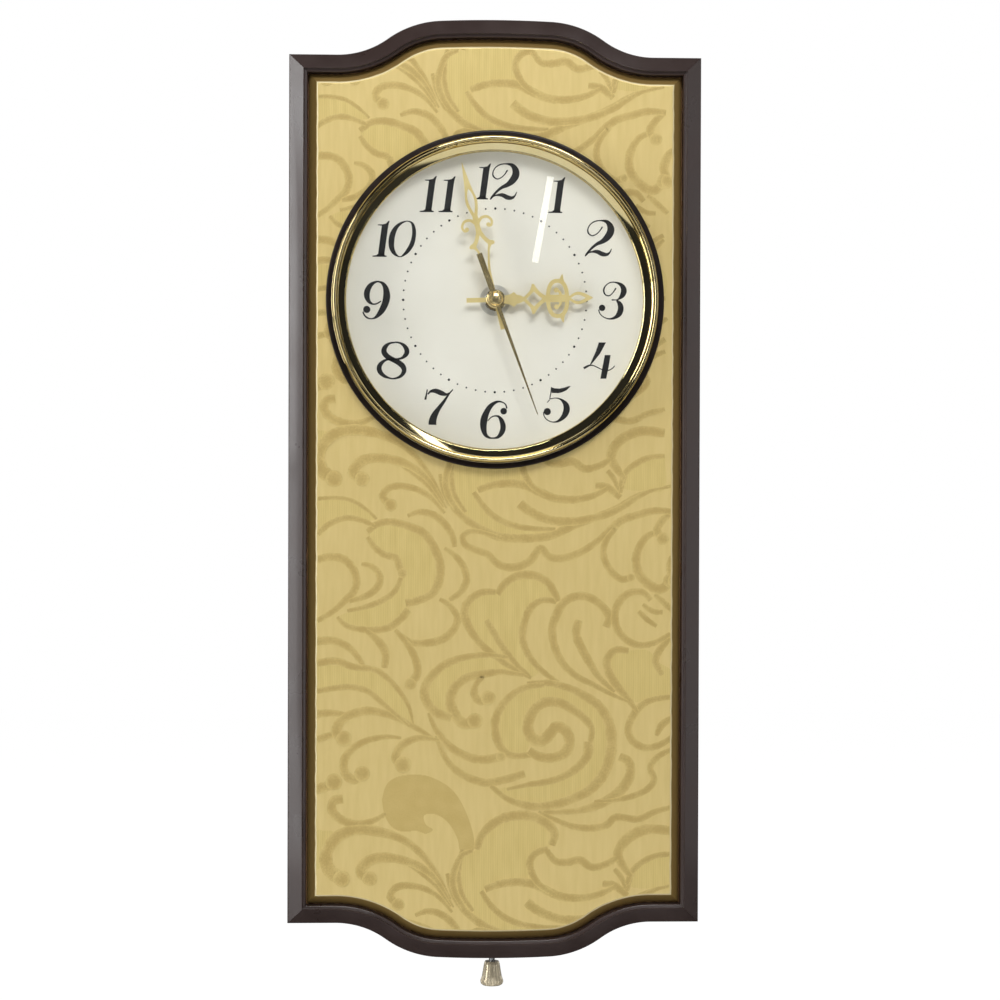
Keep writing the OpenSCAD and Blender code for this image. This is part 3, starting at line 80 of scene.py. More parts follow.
# ---------------------------------------------------------------- drawing helpers
def at(x: float, up: float, d: float) -> Corner:
    """Returns the point of the shared frame, in metres, for clock sizes in millimetres."""
    return (x * MM, -d * MM, up * MM)


def srgb(red: int, green: int, blue: int) -> Colour:
    """Turns a display colour into a linear one.

    Args:
        red: Its red from 0 to 255.
        green: Its green.
        blue: Its blue.

    Returns:
        The linear colour.
    """
    return tuple(
        v / 12.92 if v <= 0.04045 else ((v + 0.055) / 1.055) ** 2.4
        for v in (red / 255, green / 255, blue / 255)
    )


def arc(centre: Point, radius: float, start: float, end: float, steps: int) -> list[Point]:
    """Points of an arc.

    Args:
        centre: Centre of the arc.
        radius: Its radius.
        start: First angle in radians, counted clockwise from up.
        end: Last angle.
        steps: Number of chords.

    Returns:
        The points, both ends included.
    """
    turns = (start + (end - start) * i / steps for i in range(steps + 1))
    return [
        (centre[0] + radius * math.sin(a), centre[1] + radius * math.cos(a)) for a in turns
    ]


def circle(centre: Point, radius: float, steps: int) -> list[Point]:
    """Returns the points of a circle, clockwise from its top."""
    return arc(centre, radius, 0.0, math.tau, steps)[:-1]


def eased(points: Sequence[Sequence[float]], steps: int) -> list[tuple[float, ...]]:
    """Draws a smooth line through control points, which may carry a width as well.

    Args:
        points: Control points; every number in them is eased alike.
        steps: New points for each stretch.

    Returns:
        The points of the line, both ends included.
    """
    out: list[tuple[float, ...]] = []
    for i in range(len(points) - 1):
        a = points[max(i - 1, 0)]
        b, c = points[i], points[i + 1]
        e = points[min(i + 2, len(points) - 1)]
        for k in range(steps):
            t = k / steps
            out.append(
                tuple(
                    0.5
                    * (
                        2 * q
                        + (r - p) * t
                        + (2 * p - 5 * q + 4 * r - s) * t * t
                        + (3 * q - p - 3 * r + s) * t**3
                    )
                    for p, q, r, s in zip(a, b, c, e)
                )
            )
    out.append(tuple(points[-1]))
    return out


def square_to(line: Sequence[Sequence[float]], i: int) -> Point:
    """Direction square to a line on the clock's face, at one of its points.

    Args:
        line: Points that start with x and up.
        i: Number of the point.

    Returns:
        Its x and up, of length 1.
    """
    x0, y0 = line[max(i - 1, 0)][:2]
    x1, y1 = line[min(i + 1, len(line) - 1)][:2]
    run = math.hypot(x1 - x0, y1 - y0) or 1.0
    return -(y1 - y0) / run, (x1 - x0) / run


def grid(rows: int, cols: int, wrap_rows: bool, wrap_cols: bool) -> list[tuple[int, ...]]:
    """Quads between rows of points that all have the same count.

    Args:
        rows: Number of rows.
        cols: Points in each row.
        wrap_rows: Whether the last row joins the first.
        wrap_cols: Whether each row is closed.

    Returns:
        The faces, by point number.
    """
    return [
        (
            i * cols + j,
            (i + 1) % rows * cols + j,
            (i + 1) % rows * cols + (j + 1) % cols,
            i * cols + (j + 1) % cols,
        )
        for i in range(rows if wrap_rows else rows - 1)
        for j in range(cols if wrap_cols else cols - 1)
    ]


def linked(name: str, data: bpy.types.ID) -> Piece:
    """Makes an object of the scene.

    Args:
        name: The object's name.
        data: Its mesh, lamp or camera.

    Returns:
        The object.
    """
    made = bpy.data.objects.new(name, data)
    bpy.context.scene.collection.objects.link(made)
    return made


def settle(work: bmesh.types.BMesh, mesh: bpy.types.Mesh, sharp: float) -> None:
    """Turns faces outward, writes them to their mesh and shades it smooth.

    Args:
        work: The faces; they are freed.
        mesh: The mesh that takes them.
        sharp: Least angle in degrees at which an edge stays crisp.
    """
    bmesh.ops.recalc_face_normals(work, faces=work.faces)
    work.to_mesh(mesh)
    work.free()
    mesh.polygons.foreach_set("use_smooth", [True] * len(mesh.polygons))
    mesh.set_sharp_from_angle(angle=math.radians(sharp))


class Draft:
    """Corners and faces of one piece while it is drawn."""

    weld_reach: float = 1e-7

    def __init__(self) -> None:
        """Starts an empty draft."""
        self.corners: list[Corner] = []
        self.faces: list[tuple[int, ...]] = []

    def add(self, corners: Iterable[Corner], faces: Iterable[Sequence[int]]) -> None:
        """Adds corners and faces.

        Args:
            corners: The new corners.
            faces: The faces, by number among the new corners.
        """
        first = len(self.corners)
        self.corners.extend(corners)
        self.faces.extend(tuple(first + k for k in face) for face in faces)

    def loft(
        self,
        rows: Sequence[Sequence[Corner]],
        wrap_rows: bool = False,
        wrap_cols: bool = True,
        capped: bool = False,
    ) -> None:
        """Adds the skin through rows of corners.

        Args:
            rows: Rows with the same number of corners.
            wrap_rows: Whether the last row joins the first.
            wrap_cols: Whether each row is closed.
            capped: Whether the first and last rows get a face.
        """
        count = len(rows[0])
        faces = grid(len(rows), count, wrap_rows, wrap_cols)
        if capped:
            last = (len(rows) - 1) * count
            faces.append(tuple(range(count)))
            faces.append(tuple(last + k for k in reversed(range(count))))
        self.add([c for row in rows for c in row], faces)

    def mesh(self, name: str) -> bpy.types.Mesh:
        """Makes a mesh of what is drawn so far.

        Args:
            name: The mesh's name.

        Returns:
            The mesh.
        """
        made = bpy.data.meshes.new(name)
        made.from_pydata(self.corners, [], self.faces)
        return made

    def piece(self, name: str, sharp: float = 35.0) -> Piece:
        """Makes the object, with corners in one place welded.

        Args:
            name: The piece's name.
            sharp: Least angle in degrees at which an edge stays crisp.

        Returns:
            The new object, linked to the scene.
        """
        mesh = self.mesh(name)
        work = bmesh.new()
        work.from_mesh(mesh)
        bmesh.ops.remove_doubles(work, verts=work.verts, dist=self.weld_reach)
        settle(work, mesh, sharp)
        return linked(name, mesh)

    def flat_piece(self, name: str, tones: Sequence[float] = ()) -> Piece:
        """Makes an object of flat figures that all face out of the wall.

        Args:
            name: The piece's name.
            tones: A tone for every corner, kept as the attribute "across".

        Returns:
            The new object, linked to the scene.
        """
        mesh = self.mesh(name)
        for face in mesh.polygons:
            if face.normal.y > 0:
                face.flip()
        if tones:
            layer = mesh.attributes.new("across", "FLOAT", "POINT")
            layer.data.foreach_set("value", list(tones))
        mesh.update()
        return linked(name, mesh)


def lofted(
    name: str, rows: Sequence[Sequence[Corner]], sharp: float = 35.0, **skin: bool
) -> Piece:
    """Makes a piece that is one skin through rows of corners.

    Args:
        name: The piece's name.
        rows: The rows, as Draft.loft() takes them.
        sharp: Least angle in degrees at which an edge stays crisp.
        skin: Which way the skin closes, as for Draft.loft().

    Returns:
        The piece.
    """
    draft = Draft()
    draft.loft(rows, **skin)
    return draft.piece(name, sharp)


def turned(
    name: str,
    section: Sequence[Point],
    sharp: float,
    centre: Point = (0.0, DIAL_UP),
    steps: int = 256,
) -> Piece:
    """Makes a piece turned about an axis out of the wall.

    Args:
        name: The piece's name.
        section: Closed section as radius and distance from the wall.
        sharp: Least angle in degrees at which an edge stays crisp.
        centre: The axis, as x and up.
        steps: Number of flats round the piece.

    Returns:
        The piece.
    """
    rims = [circle(centre, r, steps) for r, _ in section]
    rows = [[at(x, up, d) for (x, up), (_, d) in zip(spots, section)] for spots in zip(*rims)]
    return lofted(name, rows, sharp, wrap_rows=True)


@dataclass
class Assembly:
    """What every sub-assembly shares: fitting a piece to the frame and reporting it."""

    finishes: "Finishes"

    def fit(
        self,
        made: Piece,
        body: str,
        slot: str,
        stands_for: Sequence[str] = (),
        finish: str | None = None,
    ) -> None:
        """Puts a piece on its body, with its finish.

        Args:
            made: The piece.
            body: The CAD body that it moves with.
            slot: The record's material slot.
            stands_for: CAD nodes that it replaces.
            finish: Name of the finish, where it isn't the slot's.
        """
        made.data.materials.clear()
        made.data.materials.append(self.finishes.material(finish or slot))
        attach(made, body)
        if stands_for:
            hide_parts(*stands_for)
        log.info("%s rides on %s in %s", made.name, body, finish or slot)


# ---------------------------------------------------------------- shared shader groups
class NodeTree:
    """A node tree with short calls to add and join nodes."""

    def __init__(self, tree: bpy.types.NodeTree) -> None:
        """Holds the tree."""
        self.tree = tree

    def fill(self, node: bpy.types.Node, inputs: dict) -> None:
        """Gives a node its inputs.

        Args:
            node: The node.
            inputs: Values, or sockets to join, by the input's name or number.
        """
        for key, value in inputs.items():
            if isinstance(value, Socket):
                self.tree.links.new(value, node.inputs[key])
            elif isinstance(value, tuple) and len(value) == 3 and node.inputs[key].type == "RGBA":
                node.inputs[key].default_value = (*value, 1.0)
            else:
                node.inputs[key].default_value = value

    def add(self, kind: str, inputs: dict | None = None, **settings: object) -> bpy.types.Node:
        """Adds one node.

        Args:
            kind: Blender's name of the node.
            inputs: Values or sockets for its inputs, by name or number.
            settings: Settings of the node itself.

        Returns:
            The node.
        """
        node = self.tree.nodes.new(kind)
        for key, value in settings.items():
            setattr(node, key, value)
        self.fill(node, inputs or {})
        return node

    def sum(self, kind: str, *values: Value) -> Socket:
        """Returns the result of a Math node of that kind."""
        return self.add("ShaderNodeMath", dict(enumerate(values)), operation=kind).outputs[0]

    def times(self, value: Value, factor: Value) -> Socket:
        """Returns the product of two values."""
        return self.sum("MULTIPLY", value, factor)

    def ripple(self, value: Value) -> Socket:
        """Returns a wave from -1 to 1, with one wave to each whole step of the value."""
        return self.sum("SINE", self.times(value, math.tau))

    def shares(self, first: Value, share: float, second: Value, other: float) -> Socket:
        """Returns the sum of two values, each multiplied by the share after it."""
        return self.sum("MULTIPLY_ADD", first, share, self.times(second, other))

    def span(
        self, value: Value, low: float, high: float, to_low: float = 0.0, to_high: float = 1.0
    ) -> Socket:
        """Returns the value mapped from one range to another, and held to it."""
        ends = {0: value, 1: low, 2: high, 3: to_low, 4: to_high}
        return self.add("ShaderNodeMapRange", ends).outputs[0]

    def blend(self, share: Value, first: Socket | Colour, second: Socket | Colour) -> Socket:
        """Returns the mix of two colours."""
        node = self.add("ShaderNodeMix", {0: share, 6: first, 7: second}, data_type="RGBA")
        return node.outputs[2]

    def stretched(self, place: Socket, stretch: Corner) -> Socket:
        """Returns the place multiplied along each axis."""
        node = self.add("ShaderNodeVectorMath", {0: place, 1: stretch}, operation="MULTIPLY")
        return node.outputs[0]

    def axes(self, place: Socket) -> bpy.types.bpy_prop_collection:
        """Returns the place's parts along the three axes."""
        return self.add("ShaderNodeSeparateXYZ", {0: place}).outputs

    def noise(self, place: Socket, scale: Value, detail: float = 2.0) -> Socket:
        """Returns the value of a noise."""
        node = self.add("ShaderNodeTexNoise", {"Vector": place, "Scale": scale, "Detail": detail})
        return node.outputs["Fac"]

    def carried(self, name: str) -> Socket:
        """Returns the value of an attribute of the mesh."""
        return self.add("ShaderNodeAttribute", attribute_name=name).outputs["Fac"]


class Effect(Enum):
    """Surface effects that are shared between finishes."""

    MOTTLE = "cloudy_tone"
    BRUSHED = "drawn_grain"
    WOOD = "wood_figure"
    FIBRE = "pressed_fibre"
    SATIN = "satin_weave"
    FLECKS = "woven_flecks"
    WIRE = "wound_wire"


class EffectShelf:
    """Builds each shared node group once.

    Every group takes a place and a scale, and gives a tone from 0 to 1 and a height.
    """

    def __init__(self) -> None:
        """Starts with no group built."""
        self.built: dict[Effect, bpy.types.NodeTree] = {}
        self.makers: dict[Effect, Callable[[NodeTree, Socket, Socket], tuple[Socket, Socket]]] = {
            Effect.MOTTLE: self._mottle,
            Effect.BRUSHED: self._brushed,
            Effect.WOOD: self._wood,
            Effect.FIBRE: self._fibre,
            Effect.SATIN: self._satin,
            Effect.FLECKS: self._flecks,
            Effect.WIRE: self._wire,
        }

    def group(self, effect: Effect) -> bpy.types.NodeTree:
        """Gives the node group of an effect, built on first use.

        Args:
            effect: The effect.

        Returns:
            The group's node tree.
        """
        if effect not in self.built:
            tree = bpy.data.node_groups.new(effect.value, "ShaderNodeTree")
            for name, way, kind in (
                ("Place", "INPUT", "Vector"),
                ("Scale", "INPUT", "Float"),
                ("Tone", "OUTPUT", "Float"),
                ("Height", "OUTPUT", "Float"),
            ):
                tree.interface.new_socket(name, in_out=way, socket_type=f"NodeSocket{kind}")
            sheet = NodeTree(tree)
            source = sheet.add("NodeGroupInput")
            tone, height = self.makers[effect](sheet, source.outputs[0], source.outputs[1])
            sheet.add("NodeGroupOutput", {0: tone, 1: height})
            self.built[effect] = tree
        return self.built[effect]

    @staticmethod
    def _mottle(sheet: NodeTree, place: Socket, scale: Socket) -> tuple[Socket, Socket]:
        """Soft clouds of tone with a fine grain in the height.

        Args:
            sheet: The group's tree.
            place: Socket of the place.
            scale: Socket of the scale.

        Returns:
            The sockets of the tone and the height.
        """
        clouds = sheet.noise(place, scale, 4.0)
        fine = sheet.noise(place, sheet.times(scale, 9.0))
        return sheet.span(clouds, 0.32, 0.68), fine

    @staticmethod
    def _brushed(sheet: NodeTree, place: Socket, scale: Socket) -> tuple[Socket, Socket]:
        """Fine parallel scratches that run across the object.

        Args:
            sheet: The group's tree.
            place: Socket of the place.
            scale: Socket of the scale.

        Returns:
            The sockets of the tone and the height.
        """
        drawn = sheet.stretched(place, (0.06, 1.0, 1.0))
        lines = sheet.noise(drawn, sheet.times(scale, 14.0))
        clouds = sheet.noise(place, scale)
        return sheet.span(sheet.shares(lines, 0.6, clouds, 0.4), 0.35, 0.65), lines

    @staticmethod
    def _wood(sheet: NodeTree, place: Socket, scale: Socket) -> tuple[Socket, Socket]:
        """Long grain up the object, with pores.

        Args:
            sheet: The group's tree.
            place: Socket of the place.
            scale: Socket of the scale.

        Returns:
            The sockets of the tone and the height.
        """
        drawn = sheet.stretched(place, (1.0, 1.0, 0.07))
        bands = sheet.add(
            "ShaderNodeTexWave",
            {"Vector": drawn, "Scale": scale, "Distortion": 7.0, "Detail": 3.0},
            bands_direction="X",
        ).outputs["Fac"]
        pores = sheet.noise(drawn, sheet.times(scale, 22.0))
        return sheet.span(sheet.shares(pores, 0.45, bands, 0.55), 0.2, 0.8), pores

    @staticmethod
    def _fibre(sheet: NodeTree, place: Socket, scale: Socket) -> tuple[Socket, Socket]:
        """Short felted fibres, as in pressed board and circuit board.

        Args:
            sheet: The group's tree.
            place: Socket of the place.
            scale: Socket of the scale.

        Returns:
            The sockets of the tone and the height.
        """
        cells = sheet.add(
            "ShaderNodeTexVoronoi",
            {"Vector": place, "Scale": sheet.times(scale, 4.0)},
            feature="F1",
        ).outputs["Distance"]
        clouds = sheet.noise(place, scale, 5.0)
        return sheet.span(sheet.shares(cells, 0.5, clouds, 0.6), 0.25, 0.75), cells

    @staticmethod
    def _satin(sheet: NodeTree, place: Socket, scale: Socket) -> tuple[Socket, Socket]:
        """Yarns up the cloth, broken by the floats of a satin weave.

        Args:
            sheet: The group's tree.
            place: Socket of the place.
            scale: Socket of the scale, in yarns to a metre.

        Returns:
            The sockets of the tone and the height.
        """
        parts = sheet.axes(place)
        across = sheet.times(parts[0], scale)
        along = sheet.times(parts[2], scale)
        ribs = sheet.ripple(across)
        floats = sheet.ripple(sheet.shares(across, 2.5, along, 0.55))
        weave = sheet.shares(floats, 0.35, ribs, 0.65)
        uneven = sheet.noise(sheet.stretched(place, (1.0, 1.0, 0.12)), 420.0, 3.0)
        return sheet.span(sheet.sum("MULTIPLY_ADD", weave, 0.22, uneven), 0.15, 0.85), weave

    @staticmethod
    def _flecks(sheet: NodeTree, place: Socket, scale: Socket) -> tuple[Socket, Socket]:
        """Short slanting flecks, where the pattern's weft crosses the satin.

        Args:
            sheet: The group's tree.
            place: Socket of the place.
            scale: Socket of the scale.

        Returns:
            The sockets of the tone and the height.
        """
        parts = sheet.axes(place)
        along = sheet.times(sheet.sum("ADD", parts[0], parts[2]), 0.4)
        across = sheet.sum("SUBTRACT", parts[0], parts[2])
        slanted = sheet.add("ShaderNodeCombineXYZ", {0: along, 2: across}).outputs[0]
        flecks = sheet.noise(slanted, scale)
        clouds = sheet.noise(place, 160.0)
        return sheet.span(sheet.shares(clouds, 0.5, flecks, 0.6), 0.4, 0.7), flecks

    @staticmethod
    def _wire(sheet: NodeTree, place: Socket, scale: Socket) -> tuple[Socket, Socket]:
        """Turns of fine wire side by side along the winding's axis.

        Args:
            sheet: The group's tree.
            place: Socket of the place.
            scale: Socket of the scale, in turns to a metre.

        Returns:
            The sockets of the tone and the height.
        """
        turns = sheet.ripple(sheet.times(sheet.axes(place)[1], scale))
        clouds = sheet.noise(place, 900.0)
        return sheet.span(sheet.sum("MULTIPLY_ADD", turns, 0.3, clouds), 0.1, 0.9), turns


# ---------------------------------------------------------------- finishes
def new_material(name: str) -> tuple[bpy.types.Material, NodeTree, bpy.types.Node]:
    """Starts a material.

    Args:
        name: The material's name.

    Returns:
        The material, its node tree and its Principled BSDF.
    """
    made = bpy.data.materials.new(name)
    made.use_nodes = True
    return made, NodeTree(made.node_tree), made.node_tree.nodes["Principled BSDF"]


@dataclass(frozen=True)
class Finish:
    """One finish, from which a material is made.

    The effect's tone blends the second colour into the first, and the first roughness into
    the second. A worn edge is told by the mesh's attribute "across". Where a cloth rolls down
    at its edge, another attribute of the mesh paints shade down the roll and a highlight where
    it meets the flat.
    """

    colour: Colour
    second: Colour
    effect: Effect = Effect.MOTTLE
    scale: float = 60.0
    metallic: float = 0.0
    rough: tuple[float, float] = (0.35, 0.5)
    bump: float = 0.05
    bump_reach: float = 0.02
    coat: float = 0.0
    coat_rough: float = 0.08
    sheen: float = 0.0
    specular: float = 0.5
    transmission: float = 0.0
    edge_worn: bool = False
    worn_span: tuple[float, float] = (0.3, 1.6)
    # Colours of the painted shade down a rolled cloth edge and of the painted highlight where the
    # roll meets the flat cloth.
    painted_shade_and_highlight: Colour | None = None
    painted_crease_highlight: Colour = WHITE

    def material(self, name: str, shelf: EffectShelf) -> bpy.types.Material:
        """Builds the material.

        Args:
            name: The material's name.
            shelf: The shared effects.

        Returns:
            The material.
        """
        made, sheet, shader = new_material(name)
        place = sheet.add("ShaderNodeTexCoord").outputs["Object"]
        effect = sheet.add("ShaderNodeGroup", node_tree=shelf.group(self.effect))
        sheet.fill(effect, {0: place, 1: self.scale})
        tone, height = effect.outputs[0], effect.outputs[1]
        if self.edge_worn:
            across = sheet.carried("across")
            tone = sheet.span(sheet.sum("ADD", tone, across), *self.worn_span)
        colour = sheet.blend(tone, self.second, self.colour)
        # Painted shade down the cloth's rolled edge, and a painted highlight where it meets the
        # flat, both told by a mesh attribute.
        if self.painted_shade_and_highlight:
            painted_shade_and_highlight = sheet.carried("painted_shade_and_highlight")
            colour = sheet.blend(painted_shade_and_highlight, colour, self.painted_shade_and_highlight)
            colour = sheet.blend(sheet.times(painted_shade_and_highlight, -1.0), colour, self.painted_crease_highlight)
        bump = sheet.add(
            "ShaderNodeBump",
            {"Strength": self.bump, "Distance": self.bump_reach * MM, "Height": height},
        )
        sheet.fill(shader, {
            "Base Color": colour,
            "Roughness": sheet.span(tone, 0.0, 1.0, *self.rough),
            "Metallic": self.metallic,
            "Coat Weight": self.coat,
            "Coat Roughness": self.coat_rough,
            "Sheen Weight": self.sheen,
            "Specular IOR Level": self.specular,
            "Transmission Weight": self.transmission,
            "Normal": bump.outputs[0],
        })
        return made


@dataclass(frozen=True)
class ClearGlass:
    """The convex dial glass: clear, with light let through to the dial behind it."""

    tint: Colour = (0.985, 0.99, 0.985)
    rough: float = 0.0
    ior: float = 1.5

    def material(self, name: str) -> bpy.types.Material:
        """Builds the glass.

        Shadow rays and diffuse rays pass straight through it. So do glossy rays from outside,
        so that the gilt rings behind it mirror the dial rather than the glass.

        Args:
            name: The material's name.

        Returns:
            The material.
        """
        made, sheet, shader = new_material(name)
        sheet.fill(shader, {
            "Base Color": self.tint,
            "Roughness": self.rough,
            "IOR": self.ior,
            "Transmission Weight": 1.0,
        })
        path = sheet.add("ShaderNodeLightPath").outputs
        through = sheet.add("ShaderNodeBsdfTransparent", {0: self.tint})
        back = sheet.add("ShaderNodeNewGeometry").outputs["Backfacing"]
        inside = sheet.sum("GREATER_THAN", back, path["Transparent Depth"])
        bent = sheet.sum("MAXIMUM", path["Is Transmission Ray"], inside)
        passed = sheet.sum("SUBTRACT", path["Is Glossy Ray"], bent)
        for kind in ("Is Shadow Ray", "Is Diffuse Ray"):
            passed = sheet.sum("MAXIMUM", passed, path[kind])
        mixed = sheet.add(
            "ShaderNodeMixShader", {0: passed, 1: shader.outputs[0], 2: through.outputs[0]}
        )
        sheet.fill(made.node_tree.nodes["Material Output"], {"Surface": mixed.outputs[0]})
        return made


FINISH_TABLE: dict[str, Finish] = {
    "lacquer": Finish(srgb(61, 48, 45), srgb(52, 40, 37), scale=40, rough=(0.26, 0.36),
                      bump=0.05, bump_reach=0.01, coat=0.25),
    # The brocade's rolled edge gets painted shade, and a painted highlight where it meets the
    # flat.
    "brocade": Finish(srgb(230, 207, 140), srgb(219, 195, 126), Effect.SATIN, 2800,
                      metallic=0.25, rough=(0.36, 0.44), bump=0.2, bump_reach=0.03,
                      painted_shade_and_highlight=srgb(140, 114, 64), painted_crease_highlight=srgb(250, 238, 198)),
    "brocade_figure": Finish(srgb(188, 162, 96), srgb(219, 196, 127), Effect.FLECKS, 1500,
                             metallic=0.2, rough=(0.42, 0.52), bump=0.4, bump_reach=0.04,
                             edge_worn=True),
    "brocade_leaf": Finish(srgb(225, 203, 132), srgb(210, 187, 115), Effect.SATIN, 870,
                           metallic=0.23, rough=(0.38, 0.46), bump=0.35, bump_reach=0.05),
    "brocade_bulb": Finish(srgb(208, 184, 116), srgb(199, 174, 105), Effect.FLECKS, 1900,
                           metallic=0.2, rough=(0.4, 0.5), bump=0.4, bump_reach=0.04),
    "plywood": Finish(srgb(176, 134, 88), srgb(132, 92, 56), Effect.WOOD, 70,
                      rough=(0.6, 0.75), bump=0.3, bump_reach=0.12),
    "hardboard": Finish(srgb(118, 82, 54), srgb(88, 58, 38), Effect.FIBRE, 300,
                        rough=(0.62, 0.8), bump=0.3, bump_reach=0.06),
    "zinc_plate": Finish(srgb(186, 188, 186), srgb(150, 152, 150), Effect.BRUSHED, 220,
                         metallic=1, rough=(0.3, 0.45), bump=0.1),
    "dark_ring": Finish(srgb(32, 21, 16), srgb(25, 17, 13), scale=120, rough=(0.3, 0.4),
                        specular=0.3),
    "gilt": Finish(srgb(228, 213, 166), srgb(220, 202, 148), scale=35, metallic=1,
                   rough=(0.05, 0.09), bump=0.02, bump_reach=0.004),
    "dial_paint": Finish(srgb(240, 237, 226), srgb(233, 230, 218), scale=22,
                         rough=(0.4, 0.5), bump=0.03, bump_reach=0.01),
    "dial_ink": Finish(srgb(38, 38, 40), srgb(30, 30, 32), scale=500, rough=(0.35, 0.5)),
    "hand_gilt": Finish(srgb(230, 212, 150), srgb(220, 200, 136), scale=120, metallic=0.25,
                        rough=(0.42, 0.5), bump=0.02, bump_reach=0.01),
    "polished_hand": Finish(srgb(228, 208, 156), srgb(216, 194, 140), scale=120, metallic=0.82,
                            rough=(0.2, 0.28), bump=0.02, bump_reach=0.01),
    "pale_gilt": Finish(srgb(236, 224, 196), srgb(226, 210, 176), scale=120, metallic=0.45,
                        rough=(0.22, 0.3), bump=0.02, bump_reach=0.01),
    "tin": Finish(srgb(212, 211, 204), srgb(200, 199, 192), scale=240, metallic=0.25,
                  rough=(0.3, 0.42), bump=0.04, bump_reach=0.01),
    "nickel": Finish(srgb(206, 204, 198), srgb(180, 178, 172), Effect.BRUSHED, 240,
                     metallic=1, rough=(0.18, 0.3), bump=0.06, bump_reach=0.01),
    "brass": Finish(srgb(214, 180, 104), srgb(188, 150, 80), Effect.BRUSHED, 240,
                    metallic=1, rough=(0.24, 0.4), bump=0.1, bump_reach=0.01),
    "steel": Finish(srgb(186, 188, 190), srgb(160, 162, 165), Effect.BRUSHED, 260,
                    metallic=1, rough=(0.24, 0.4), bump=0.08, bump_reach=0.01),
    "magnet": Finish(srgb(74, 74, 78), srgb(56, 56, 60), scale=500, metallic=0.7,
                     rough=(0.45, 0.6), bump=0.2),
    "blued_steel": Finish(srgb(52, 66, 110), srgb(40, 48, 84), Effect.BRUSHED, 300,
                          metallic=1, rough=(0.2, 0.32)),
    "bobbin": Finish(srgb(176, 74, 52), srgb(152, 60, 42), scale=240, rough=(0.36, 0.48)),
    "copper": Finish(srgb(196, 112, 64), srgb(150, 76, 40), Effect.WIRE, 9000, metallic=0.9,
                     rough=(0.25, 0.4), bump=0.8, bump_reach=0.04),
    "circuit": Finish(srgb(150, 104, 58), srgb(120, 78, 42), Effect.FIBRE, 260,
                      rough=(0.4, 0.55), bump=0.15),
    "can": Finish(srgb(190, 188, 182), srgb(160, 158, 152), scale=300, metallic=1,
                  rough=(0.25, 0.38)),
    "sleeve": Finish(srgb(34, 60, 96), srgb(26, 48, 80), scale=260, rough=(0.3, 0.42)),
    "resistor": Finish(srgb(196, 160, 116), srgb(170, 132, 90), scale=600, rough=(0.4, 0.55)),
    "clear_plastic": Finish(srgb(226, 226, 220), srgb(212, 212, 206), scale=120,
                            rough=(0.12, 0.2), transmission=0.85, bump=0.03),
    "black_plastic": Finish(srgb(34, 34, 36), srgb(26, 26, 28), scale=420,
                            rough=(0.42, 0.56), bump=0.25, bump_reach=0.02),
    "cell_jacket": Finish(srgb(150, 52, 42), srgb(136, 44, 36), scale=90, metallic=0.3,
                          rough=(0.28, 0.38)),
    "red_wire": Finish(srgb(186, 38, 32), srgb(160, 30, 26), scale=500, rough=(0.35, 0.48)),
    "black_wire": Finish(srgb(30, 30, 32), srgb(22, 22, 24), scale=500, rough=(0.35, 0.48)),
    "rubber": Finish(srgb(38, 36, 36), srgb(28, 27, 27), scale=500, rough=(0.65, 0.8),
                     bump=0.2),
    "nylon": Finish(srgb(232, 228, 214), srgb(220, 214, 198), scale=240, rough=(0.35, 0.45),
                    sheen=0.05),
}


class Finishes:
    """Makes each material on first use."""

    def __init__(self) -> None:
        """Starts the shelf of shared effects."""
        self.shelf = EffectShelf()
        self.made: dict[str, bpy.types.Material] = {}

    def material(self, name: str) -> bpy.types.Material:
        """Gives the material of a finish.

        Args:
            name: The finish.

        Returns:
            Its material, the same one each time.
        """
        if name not in self.made:
            if name == "dial_glass":
                self.made[name] = ClearGlass().material(name)
            else:
                self.made[name] = FINISH_TABLE[name].material(name, self.shelf)
        return self.made[name]


